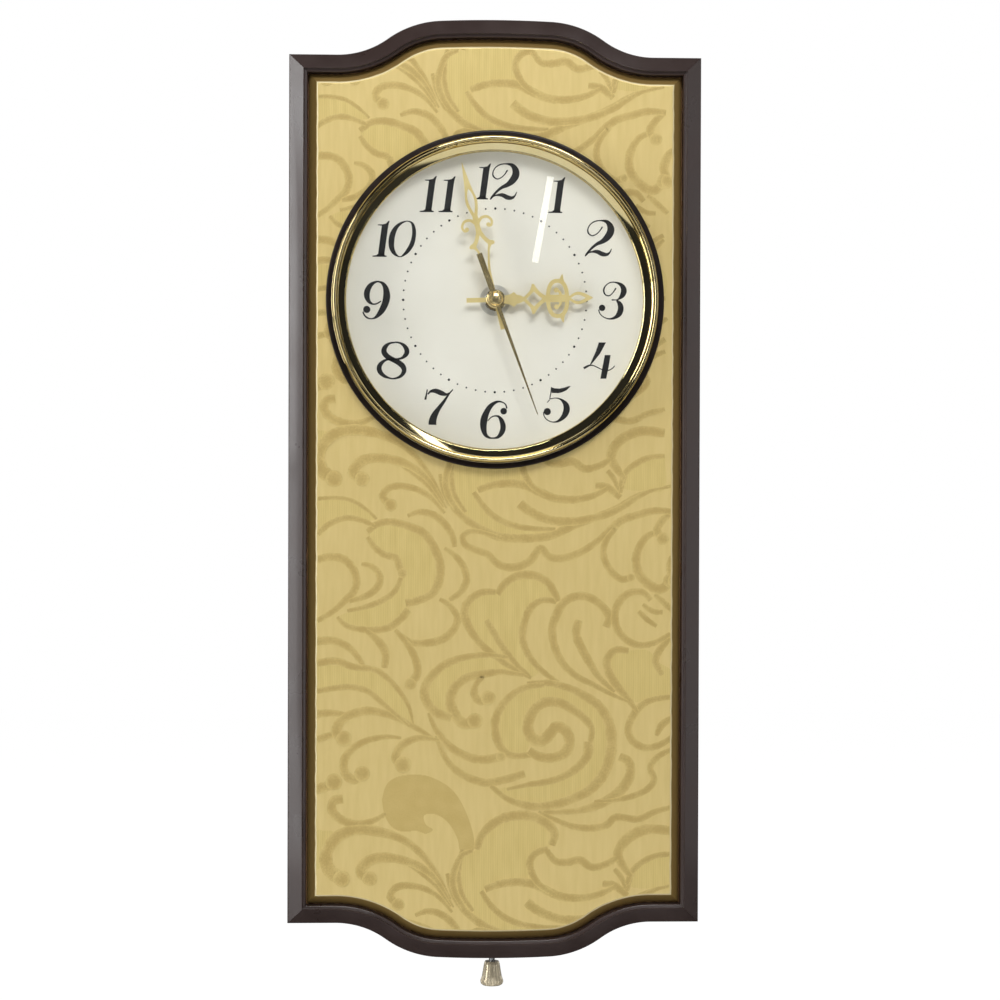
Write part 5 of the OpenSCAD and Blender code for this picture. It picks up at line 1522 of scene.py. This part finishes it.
    def build(self) -> None:
        """Builds the pad, its filled leaves and its scrolls."""
        self.fit(self._pad(), "case", "brocade", ["front_panel"])
        strokes, leaves, bulbs = Draft(), Draft(), Draft()
        tones: list[float] = []
        for turn, shift in enumerate(self.shifts):
            for number, stroke in enumerate(SCROLLS):
                d = PANEL_D + self.scroll_lift + self.layer * number
                self._draw(stroke, shift, d, strokes, tones)
            for number, leaf in enumerate(LEAVES, len(LEAVES) * turn):
                self._fill(leaf, shift, PANEL_D + self.leaf_lift + self.layer * number, leaves)
            self._fill(BULB, shift, PANEL_D + self.bulb_lift, bulbs)
        for name, draft, carried, finish in (
            ("brocade_scrolls", strokes, tones, "brocade_figure"),
            ("brocade_leaves", leaves, (), "brocade_leaf"),
            ("brocade_bulbs", bulbs, (), "brocade_bulb"),
        ):
            self.fit(draft.flat_piece(name, carried), "case", "brocade", finish=finish)


# ---------------------------------------------------------------- dial and bezel
@dataclass(frozen=True)
class Glyph:
    """One numeral: strokes of (x, down, width), filled outlines and balls, in drawing units."""

    unit: float
    centre: Point
    strokes: tuple[tuple[Corner, ...], ...] = ()
    outlines: tuple[tuple[Point, ...], ...] = ()
    balls: tuple[Corner, ...] = ()

    def placed(self, spot: Sequence[float], middle: Point) -> tuple[float, ...]:
        """Places a point of the drawing on the dial.

        Args:
            spot: Its x, down and, in a stroke or a ball, its width.
            middle: Where the glyph's centre goes, from the dial's centre.

        Returns:
            Its x and up from the dial's centre, and its width in millimetres.
        """
        x, down, *width = spot
        return (
            middle[0] + (x - self.centre[0]) / self.unit,
            middle[1] - (down - self.centre[1]) / self.unit,
            *(w / self.unit for w in width),
        )


GLYPHS: dict[str, Glyph] = {
    "0": Glyph(31.4, (573, 1187), strokes=((
        (640, 905, 15), (560, 935, 35), (480, 1000, 60), (425, 1100, 85), (402, 1210, 92),
        (405, 1320, 80), (440, 1400, 60), (490, 1450, 30), (540, 1465, 15), (590, 1440, 35),
        (660, 1370, 60), (720, 1270, 70), (750, 1160, 65), (755, 1050, 60), (735, 960, 45),
        (700, 920, 25), (640, 905, 15)),)),
    "1": Glyph(19.6, (847, 404), outlines=(
        ((815, 262), (860, 262), (895, 255), (920, 228), (932, 228), (918, 275), (880, 560),
         (818, 560), (855, 275), (818, 272)),
        ((765, 568), (800, 565), (820, 550), (880, 550), (885, 565), (902, 568), (902, 580),
         (765, 580)))),
    "2": Glyph(26.1, (502, 310), strokes=(
        ((540, 158, 20), (500, 220, 14), (450, 262, 14), (400, 275, 16), (355, 240, 20),
         (350, 190, 16), (380, 130, 14), (440, 90, 16), (520, 78, 18), (600, 95, 50),
         (645, 160, 85), (645, 230, 95), (600, 300, 85), (540, 350, 60), (460, 390, 40),
         (390, 450, 30), (340, 510, 28), (315, 545, 15)),
        ((325, 520, 10), (390, 490, 20), (470, 485, 50), (540, 515, 60), (600, 520, 40),
         (640, 490, 20), (660, 445, 12)))),
    "3": Glyph(26.1, (702, 1108), strokes=(
        ((750, 945, 20), (715, 1000, 14), (665, 1045, 15), (610, 1030, 18), (590, 970, 22),
         (620, 910, 15), (680, 872, 15), (750, 872, 20), (820, 905, 50), (855, 970, 75),
         (835, 1040, 65), (790, 1085, 25), (760, 1100, 15)),
        ((695, 1100, 20), (760, 1100, 12)),
        ((760, 1105, 20), (800, 1150, 60), (815, 1210, 75), (795, 1280, 70), (740, 1330, 40),
         (670, 1348, 20), (600, 1330, 14), (545, 1285, 14), (525, 1230, 16))),
        balls=((570, 1205, 42),)),
    "4": Glyph(26.1, (465, 452), strokes=((
        (265, 555, 30), (310, 530, 28), (350, 515, 20), (400, 522, 14), (450, 545, 14),
        (500, 568, 12), (560, 582, 14), (610, 573, 14), (650, 545, 14), (670, 520, 12)),),
        outlines=(
        ((462, 215), (555, 215), (480, 360), (400, 460), (355, 515), (345, 510), (370, 450),
         (420, 340)),
        ((540, 380), (617, 380), (590, 545), (560, 690), (483, 690), (510, 540)))),
    "5": Glyph(44.8, (740, 783), strokes=(
        ((612, 400, 25), (600, 530, 25), (585, 600, 25), (575, 670, 22)),
        ((575, 680, 20), (548, 712, 20), (520, 745, 22)),
        ((585, 665, 20), (700, 645, 22), (800, 665, 35), (880, 720, 75), (940, 800, 125),
         (955, 900, 145), (920, 1010, 130), (850, 1100, 90), (760, 1165, 50), (660, 1185, 25),
         (560, 1160, 22), (480, 1100, 22), (440, 1020, 22), (435, 960, 20))),
        outlines=((
        (612, 400), (680, 425), (800, 432), (900, 410), (1000, 375), (1050, 375), (950, 470),
        (850, 515), (770, 535), (620, 530)),), balls=((520, 950, 80),)),
    "6": Glyph(24.1, (1152, 478), strokes=((
        (1305, 340, 20), (1290, 290, 16), (1240, 260, 18), (1180, 262, 30), (1110, 310, 55),
        (1060, 390, 70), (1030, 480, 85), (1025, 570, 75), (1045, 650, 50), (1090, 690, 28),
        (1140, 698, 18), (1200, 685, 35), (1245, 630, 60), (1262, 560, 65), (1245, 490, 55),
        (1210, 440, 30), (1170, 430, 18), (1120, 445, 14), (1075, 490, 12)),),
        balls=((1268, 372, 40),)),
    "7": Glyph(24.1, (500, 333), strokes=(
        ((358, 125, 14), (350, 180, 18), (335, 250, 26)),
        ((365, 185, 14), (400, 150, 30), (460, 143, 55), (530, 170, 60), (590, 185, 30),
         (620, 165, 12)),
        ((668, 125, 14), (620, 180, 20), (560, 270, 35), (500, 350, 50), (450, 430, 75),
         (425, 500, 90), (422, 552, 95)))),
    "8": Glyph(22.4, (437, 1127), strokes=((
        (460, 925, 18), (400, 935, 25), (350, 975, 50), (335, 1030, 60), (370, 1080, 60),
        (430, 1115, 55), (490, 1145, 60), (545, 1190, 60), (560, 1245, 50), (525, 1300, 35),
        (460, 1328, 20), (400, 1325, 20), (330, 1295, 40), (285, 1240, 55), (290, 1180, 50),
        (340, 1130, 30), (400, 1115, 18), (520, 1105, 25), (580, 1060, 50), (590, 1010, 55),
        (560, 960, 40), (510, 930, 22), (460, 922, 18)),)),
    "9": Glyph(22.4, (243, 460), strokes=((
        (98, 590, 16), (115, 630, 18), (150, 660, 18), (200, 668, 14), (250, 645, 35),
        (305, 580, 65), (345, 500, 75), (362, 420, 80), (355, 340, 65), (325, 280, 40),
        (280, 255, 20), (235, 258, 25), (180, 295, 50), (145, 360, 65), (142, 420, 62),
        (165, 475, 40), (205, 503, 20), (250, 500, 16), (300, 470, 14)),),
        balls=((140, 565, 40),)),
}
# Numerals, each with its glyphs' distances aside, and its centre from the dial's centre.
NUMERALS: tuple[tuple[tuple[tuple[str, float], ...], Point], ...] = (
    ((("1", -7.2), ("2", 3.9)), (0.7, 59.4)),
    ((("1", 0.0),), (30.8, 52.9)),
    ((("2", 0.0),), (52.3, 31.4)),
    ((("3", 0.0),), (58.8, 0.3)),
    ((("4", 0.0),), (52.3, -29.8)),
    ((("5", 0.0),), (31.3, -51.8)),
    ((("6", 0.0),), (-0.3, -59.8)),
    ((("7", 0.0),), (-27.9, -53.3)),
    ((("8", 0.0),), (-50.9, -30.3)),
    ((("9", 0.0),), (-59.5, -0.2)),
    ((("1", -6.7), ("0", 4.0)), (-50.4, 30.4)),
    ((("1", -4.7), ("1", 4.7)), (-28.9, 52.9)),
)


@dataclass(frozen=True)
class TurnedRing:
    """A piece turned about the dial's axis, by its closed section of radius and d."""

    name: str
    node: str
    finish: str
    section: tuple[Point, ...]
    sharp: float = 30.0


@dataclass
class DialAssembly(Assembly):
    """The dial with its print, the ring round it, the glass and the gold bezel."""

    ink_d: float = DIAL_D + 0.02
    dot_r: float = 45.94
    dot_sizes: Point = (0.62, 0.44)
    dot_steps: int = 16
    stroke_steps: int = 6
    ball_steps: int = 28
    glass_r: float = 78.7
    curve_r: float = 576.18
    glass_faces: Point = (60.4, 62.2)
    glass_steps: int = 32
    base_ring: TurnedRing = TurnedRing("base_ring", "bezel_base_ring", "dark_ring", (
        (79.1, 55.0), (84.4, 55.0), (84.4, 55.85), (84.32, 56.15), (84.1, 56.42),
        (83.85, 56.56), (83.5, 56.6), (79.1, 56.6)))
    gold_bezel: TurnedRing = TurnedRing("gold_bezel", "bezel", "gilt", (
        (80.1, 56.6), (81.55, 56.6), (81.6, 56.7), (81.6, 57.5), (81.53, 57.75),
        (81.28, 57.92), (81.25, 58.2), (81.33, 58.5), (81.45, 58.62), (81.43, 59.1),
        (81.35, 59.35), (81.03, 59.62), (81.0, 59.9), (81.08, 60.2), (81.13, 60.4),
        (81.1, 61.3), (80.95, 61.9),
        *arc((79.9, 62.5), 0.9, math.radians(105), math.radians(-90), 20),
        (78.42, 62.78), (78.4, 62.7), (78.4, 62.33), (78.9, 62.31), (78.9, 60.1),
        (79.3, 59.0)))
    inner_cone: TurnedRing = TurnedRing("inner_cone", "inner_ring", "gilt", (
        (74.3, 49.6), (76.0, 49.6), (78.7, 52.57), (78.7, 60.4), (78.3, 60.4),
        (78.26, 52.9), (78.2, 52.76), (75.25, 51.06), (75.1, 51.0), (74.95, 51.0),
        (74.8, 50.9), (74.42, 50.5), (74.3, 50.3)))
    dial_plate: TurnedRing = TurnedRing("dial_plate", "dial", "dial_paint", (
        (4.25, BOARD_D), (79.1, BOARD_D), (79.1, DIAL_D), (4.25, DIAL_D)))

    def _ink_ribbon(self, draft: Draft, line: Sequence[Corner]) -> None:
        """Adds a stroke of ink whose width changes along it.

        Args:
            draft: The draft that it goes into.
            line: Its points as x, up and width, from the dial's centre.
        """
        corners = []
        for i, (x, y, width) in enumerate(line):
            nx, ny = (part * width / 2 for part in square_to(line, i))
            corners.append(at(x + nx, DIAL_UP + y + ny, self.ink_d))
            corners.append(at(x - nx, DIAL_UP + y - ny, self.ink_d))
        faces = [(2 * i, 2 * i + 1, 2 * i + 3, 2 * i + 2) for i in range(len(line) - 1)]
        draft.add(corners, faces)

    def _ink_patch(self, draft: Draft, rim: Sequence[Point]) -> None:
        """Adds a patch of ink, by its rim from the dial's centre."""
        draft.add([at(x, DIAL_UP + y, self.ink_d) for x, y in rim], [tuple(range(len(rim)))])

    def _numerals(self) -> Piece:
        """Draws the twelve numerals.

        Returns:
            The piece of all numerals.
        """
        draft = Draft()
        for glyphs, (x, y) in NUMERALS:
            for name, aside in glyphs:
                glyph, middle = GLYPHS[name], (x + aside, y)
                for stroke in glyph.strokes:
                    spots = eased(stroke, self.stroke_steps)
                    self._ink_ribbon(draft, [glyph.placed(spot, middle) for spot in spots])
                for shape in glyph.outlines:
                    self._ink_patch(draft, [glyph.placed(spot, middle) for spot in shape])
                for ball in glyph.balls:
                    bx, by, r = glyph.placed(ball, middle)
                    self._ink_patch(draft, circle((bx, by), r, self.ball_steps))
        return draft.flat_piece("dial_numerals")

    def _dots(self) -> Piece:
        """Draws the ring of minute dots, larger at each numeral.

        Returns:
            The piece of all dots.
        """
        draft = Draft()
        for minute, spot in enumerate(circle((0.0, 0.0), self.dot_r, 60)):
            size = self.dot_sizes[0 if minute % 5 == 0 else 1]
            self._ink_patch(draft, circle(spot, size, self.dot_steps))
        return draft.flat_piece("dial_dots")

    def _dome(self, edge_d: float) -> list[Point]:
        """Draws one face of the glass.

        Args:
            edge_d: Distance of its rim from the wall.

        Returns:
            Its points as radius and d, from the middle to the rim.
        """
        rise = self.curve_r - math.sqrt(self.curve_r**2 - self.glass_r**2)
        points = []
        for i in range(self.glass_steps + 1):
            r = max(self.glass_r * i / self.glass_steps, AXIS_R)
            drop = self.curve_r - math.sqrt(self.curve_r**2 - r * r)
            points.append((r, edge_d + rise - drop))
        return points

    def build(self) -> None:
        """Builds the rings, the glass, the dial and its print."""
        inner, outer = (self._dome(d) for d in self.glass_faces)
        section = (*inner, *reversed(outer))
        glass = TurnedRing("convex_glass", "glass", "dial_glass", section, 60)
        for part in (self.base_ring, self.gold_bezel, self.inner_cone, glass, self.dial_plate):
            made = turned(part.name, part.section, part.sharp)
            self.fit(made, "case", part.finish, [part.node])
        for ink in (self._numerals(), self._dots()):
            self.fit(ink, "case", "dial_paint", finish="dial_ink")


# ---------------------------------------------------------------- works behind the dial
@dataclass
class CarriedNodes(Assembly):
    """The CAD nodes that stay, some with softened arrises.

    Each takes the finish of its slot, unless finish_of gives it one of its own.
    """

    finish_of: dict[str, str] = field(
        default_factory=lambda: {
            "second_hand": "polished_hand", "setting_knob": "pale_gilt", "dial_washer": "tin",
        }
    )
    softened: dict[str, float] = field(
        default_factory=lambda: {
            "hour_hand": 0.12, "minute_hand": 0.12, "second_hand": 0.08,
            "dial_nut": 0.12, "dial_washer": 0.08, "hanger_plate": 0.15,
        }
    )
    weld_reach: float = 1e-6
    arris_angle: float = 35.0
    arris_steps: int = 2

    def _soften(self, node: Piece, width: float) -> None:
        """Rounds a node's arrises.

        Args:
            node: The node.
            width: Width of the rounding in millimetres.
        """
        node.modifiers.new("weld", "WELD").merge_threshold = self.weld_reach
        bevel = node.modifiers.new("soft_arris", "BEVEL")
        bevel.width = width * MM
        bevel.segments = self.arris_steps
        bevel.limit_method = "ANGLE"
        bevel.angle_limit = math.radians(self.arris_angle)
        node.modifiers.new("even_normals", "WEIGHTED_NORMAL").keep_sharp = True

    def build(self) -> None:
        """Dresses every CAD node that no piece replaces."""
        slots = {s["node"]: s["material_slot"] for s in frame["record"]["subparts"]}
        for name, node in frame["nodes"].items():
            finish = self.finish_of.get(name, slots[name])
            node.data.materials.clear()
            node.data.materials.append(self.finishes.material(finish))
            if name in self.softened:
                self._soften(node, self.softened[name])
            log.info("%s stays, in %s", name, finish)


@dataclass
class DriveParts(Assembly):
    """The parts of the drive that are wound or sleeved: coil, cell and leads."""

    cell_r: float = 16.6
    cell_half: float = 29.75
    cell_up: float = -50.8
    cell_d: float = 24.0
    cell_steps: int = 96
    cell_sharp: float = 30.0
    wire_turns: int = 8
    wire_steps: int = 6
    wire_sharp: float = 80.0
    wound_depth: float = 2.0
    wound_steps: int = 96
    lead_r: float = 0.7
    lead_steps: int = 16
    lead_sharp: float = 50.0
    route_steps: int = 5
    first_side: Corner = (0.3, -1.0, 0.2)
    red_route: tuple[Corner, ...] = (
        (35.9, 57, 23.7), (36.3, 56.4, 23.1), (37.6, 53, 22.6), (38.2, 47, 22.3),
        (37, 42, 21.9), (32, 39.2, 21.6), (22, 38.6, 21.5), (12, 38.6, 21.4),
        (5.4, 38.2, 21.4), (4, 36, 21.2), (4, 32, 20.6), (4, 30.4, 19.2), (4, 29.8, 18),
    )
    black_route: tuple[Corner, ...] = (
        (-35.9, 57, 23.7), (-36.3, 56.4, 23.1), (-37.6, 53, 22.6), (-38.2, 47, 22.3),
        (-37, 42, 21.9), (-32, 39.2, 21.6), (-26, 38.6, 21.5), (-21.6, 38.2, 21.4),
        (-20, 36, 21.2), (-20, 32, 20.6), (-20, 30.4, 19.2), (-20, 29.8, 18),
    )

    def _along_x(self, name: str, section: Sequence[Point]) -> Piece:
        """Turns a piece about the cell's axis.

        Args:
            name: The piece's name.
            section: Closed section as x and radius.

        Returns:
            The piece.
        """
        axis = (self.cell_up, self.cell_d)
        rims = [circle(axis, r, self.cell_steps) for _, r in section]
        rows = [[at(x, up, d) for (x, _), (up, d) in zip(section, row)] for row in zip(*rims)]
        return lofted(name, rows, self.cell_sharp, wrap_rows=True)

    def _cell(self) -> None:
        """Builds the plain dry cell: jacket, steel ends, sealing ring and contact cap."""
        r, h = self.cell_r, self.cell_half
        jacket = self._along_x("cell_jacket", (
            (-h + 1.2, AXIS_R), (-h + 1.2, r - 1.4), (-h + 0.6, r - 1.1), (-h + 0.55, r - 0.5),
            (-h + 0.9, r - 0.12), (-h + 1.5, r), (h - 1.5, r), (h - 0.9, r - 0.12),
            (h - 0.55, r - 0.5), (h - 0.6, r - 1.1), (h - 1.2, r - 1.4), (h - 1.2, AXIS_R)))
        self.fit(jacket, "battery", "cell_jacket", ["battery"])
        low = self._along_x("cell_base", (
            (-h + 1.2, AXIS_R), (-h + 0.35, AXIS_R), (-h + 0.35, 8.0), (-h, 8.4), (-h, 12.4),
            (-h + 0.3, 13.0), (-h + 0.8, 13.6), (-h + 1.2, 14.0)))
        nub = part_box("battery")[1][0] / MM
        high = self._along_x("cell_top", (
            (h - 1.2, AXIS_R), (h - 1.2, 14.0), (h - 0.7, 13.6), (h - 0.45, 12.0), (h - 0.5, 6.2),
            (h - 0.2, 5.4), (nub - 0.35, 5.0), (nub, 4.5), (nub, AXIS_R)))
        for end in (low, high):
            self.fit(end, "battery", "cell_jacket", finish="steel")

    def _winding(self) -> None:
        """Builds the coil's winding as turns of wire between the bobbin's cheeks."""
        low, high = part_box("coil_winding")
        centre = ((low[0] + high[0]) / 2 / MM, (low[2] + high[2]) / 2 / MM)
        reach = (high[0] - low[0]) / 2 / MM
        near, far = -high[1] / MM, -low[1] / MM
        pitch = (far - near) / self.wire_turns
        core = reach - self.wound_depth
        section: list[Point] = [(core, near)]
        for i in range(self.wire_turns):
            middle = (reach - pitch / 2, near + (i + 0.5) * pitch)
            section += arc(middle, pitch / 2, math.pi, 0.0, self.wire_steps)
        section.append((core, far))
        made = turned("coil_turns", section, self.wire_sharp, centre, self.wound_steps)
        self.fit(made, "case", "copper", ["coil_winding"])

    def _lead(self, name: str, route: Sequence[Corner], slot: str, node: str) -> None:
        """Builds one insulated lead along its route inside the case.

        Args:
            name: The piece's name.
            route: Its control points as x, up from the dial's centre, and d.
            slot: The record's material slot.
            node: The CAD node that it replaces.
        """
        line = eased(route, self.route_steps)
        spots = [Vector(at(x, DIAL_UP + y, d)) for x, y, d in line]
        turns = circle((0.0, 0.0), 1.0, self.lead_steps)
        rows = []
        side = Vector(self.first_side).normalized()
        for i, spot in enumerate(spots):
            run = (spots[min(i + 1, len(spots) - 1)] - spots[max(i - 1, 0)]).normalized()
            side = (side - run * side.dot(run)).normalized()
            other = run.cross(side)
            rows.append([
                tuple(spot + (side * c + other * s) * self.lead_r * MM) for s, c in turns
            ])
        self.fit(lofted(name, rows, self.lead_sharp, capped=True), "case", slot, [node])

    def build(self) -> None:
        """Builds the winding, the cell and both leads."""
        self._winding()
        self._cell()
        self._lead("red_lead", self.red_route, "red_wire", "lead_positive")
        self._lead("black_lead", self.black_route, "black_wire", "lead_negative")


# ---------------------------------------------------------------- studio
@dataclass(frozen=True)
class Softbox:
    """One plain studio lamp."""

    name: str
    place: Corner
    aim: Corner
    size: Point
    power: float
    lean: float = 0.0

    def build(self) -> None:
        """Adds the lamp, turned to its aim."""
        data = bpy.data.lights.new(self.name, "AREA")
        data.shape = "RECTANGLE"
        data.size, data.size_y = self.size
        data.energy = self.power
        way = Vector(self.aim) - Vector(self.place)
        turn = way.to_track_quat("-Z", "Y").to_matrix()
        lamp = linked(self.name, data)
        lamp.location = self.place
        lamp.rotation_euler = (turn @ Matrix.Rotation(self.lean, 3, "Z")).to_euler()


@dataclass
class Studio:
    """Camera, lamps, world and floor, in metres; the camera's turns are in degrees.

    The camera sees white all round. Mirrored rays see white behind the clock, dim
    surroundings in front of it and one lit patch of the floor. Matt faces take an even
    light from all sides besides the lamps' light.
    """

    camera_place: Corner = (-0.0436, -1.253, -0.1992)
    yaw: float = -2.21
    pitch: float = -0.60
    roll: float = -0.18
    lens: float = 86.4
    sensor: float = 36.0
    front_level: float = 0.022
    plain_level: float = 0.27
    horizon: Point = (-0.1, 0.5)
    floor_up: float = -0.62
    floor_half: float = 3.0
    floor_tone: Colour = (0.82, 0.82, 0.82)
    mirrored_tone: Colour = (0.02, 0.02, 0.02)
    shown_tone: Colour = (0.2, 0.2, 0.2)
    floor_glow: float = 0.93
    floor_rough: float = 0.9
    lit_place: Corner = (-0.475, -0.63, -0.62)
    lit_turn: float = 0.283
    lit_size: Corner = (1.0, 0.36, 1.0)
    lit_rim: Point = (0.95, 1.05)
    lamps: tuple[Softbox, ...] = (
        Softbox("left_softbox", (-1.4, -0.6, 0.30), (0, -0.03, -0.15), (0.34, 1.0), 9.0),
        Softbox("left_low_softbox", (-1.4, -0.6, -0.5), (0, -0.03, -0.25), (0.34, 0.6), 3.0),
        Softbox("right_softbox", (1.4, -0.6, -0.25), (0, -0.03, -0.2), (0.34, 1.2), 1.3),
        Softbox("key_softbox", (0.15, -1.35, 0.97), (0, -0.05, -0.2), (0.9, 0.35), 15.5),
        Softbox("glint_lamp", (0.64, -1.1, 1.24), (0, -0.05, -0.12), (0.18, 0.55), 1.3),
        Softbox("left_strip", (-0.95, -1.5, -0.2), (0, -0.05, -0.2), (0.15, 1.6), 1.5),
        Softbox("right_strip", (0.95, -1.5, -0.2), (0, -0.05, -0.2), (0.15, 1.6), 1.5),
        Softbox("streak_lamp", (0.30, -2.05, 0.42), (0.02, -0.05, -0.1), (0.032, 0.43), 0.17,
                lean=-0.2),
    )

    def _camera(self) -> None:
        """Adds the camera at the picture's place and angle."""
        data = bpy.data.cameras.new("camera")
        data.lens = self.lens
        data.sensor_width = self.sensor
        camera = linked("camera", data)
        turn = (
            Matrix.Rotation(math.radians(self.yaw), 4, "Z")
            @ Matrix.Rotation(math.radians(self.pitch), 4, "X")
            @ Matrix.Rotation(math.radians(self.roll), 4, "Y")
            @ Matrix.Rotation(math.pi / 2, 4, "X")
        )
        camera.matrix_world = Matrix.Translation(self.camera_place) @ turn
        bpy.context.scene.camera = camera

    def _world(self) -> None:
        """Makes the surroundings that the class describes."""
        world = bpy.data.worlds.new("studio")
        bpy.context.scene.world = world
        world.use_nodes = True
        sheet = NodeTree(world.node_tree)
        path = sheet.add("ShaderNodeLightPath").outputs
        way = sheet.axes(sheet.add("ShaderNodeTexCoord").outputs["Generated"])
        level = sheet.span(way[1], *self.horizon, self.front_level, 1.0)
        matt = path["Is Diffuse Ray"]
        plain = sheet.times(matt, self.plain_level)
        shone = sheet.sum("MULTIPLY_ADD", level, sheet.sum("SUBTRACT", 1.0, matt), plain)
        final = sheet.sum("MAXIMUM", shone, path["Is Camera Ray"])
        sheet.fill(world.node_tree.nodes["Background"], {0: WHITE, 1: final})

    def _floor(self) -> None:
        """Adds the pale floor under the clock, white to the camera apart from its shadow."""
        half, up = self.floor_half, self.floor_up
        draft = Draft()
        draft.add(
            [(-half, -half, up), (half, -half, up), (half, half, up), (-half, half, up)],
            [(0, 1, 2, 3)],
        )
        floor = draft.piece("pale_floor")
        made, sheet, shader = new_material("pale_floor")
        path = sheet.add("ShaderNodeLightPath").outputs
        place = sheet.add("ShaderNodeTexCoord").outputs["Object"]
        patch = sheet.add(
            "ShaderNodeMapping",
            {0: place, 1: self.lit_place, 2: (0.0, 0.0, self.lit_turn), 3: self.lit_size},
            vector_type="TEXTURE",
        ).outputs[0]
        away = sheet.add("ShaderNodeVectorMath", {0: patch}, operation="LENGTH").outputs["Value"]
        near = sheet.span(away, *self.lit_rim, 1.0, self.front_level)
        mirrored = sheet.sum("MAXIMUM", path["Is Glossy Ray"], path["Is Transmission Ray"])
        camera = path["Is Camera Ray"]
        seen = sheet.sum("MAXIMUM", camera, sheet.times(mirrored, near))
        tone = sheet.blend(mirrored, self.floor_tone, self.mirrored_tone)
        sheet.fill(shader, {
            "Base Color": sheet.blend(camera, tone, self.shown_tone),
            "Emission Color": WHITE,
            "Emission Strength": sheet.times(seen, self.floor_glow),
            "Roughness": self.floor_rough,
            "Specular IOR Level": 0.0,
        })
        floor.data.materials.append(made)

    def build(self) -> None:
        """Sets up the whole studio."""
        bpy.context.scene.view_settings.view_transform = "Standard"
        self._camera()
        self._world()
        self._floor()
        for lamp in self.lamps:
            lamp.build()
        log.info("studio stands: camera, %d lamps, world and floor", len(self.lamps))


def main() -> None:
    """Builds the studio and dresses the clock, one sub-assembly after another."""
    logging.basicConfig(level=logging.INFO, format="%(name)s: %(message)s")
    Studio().build()
    finishes = Finishes()
    for assembly in (CarriedNodes, FrameMoulding, BrocadePanel, DialAssembly, DriveParts):
        assembly(finishes).build()


if __name__ == "__main__":
    main()
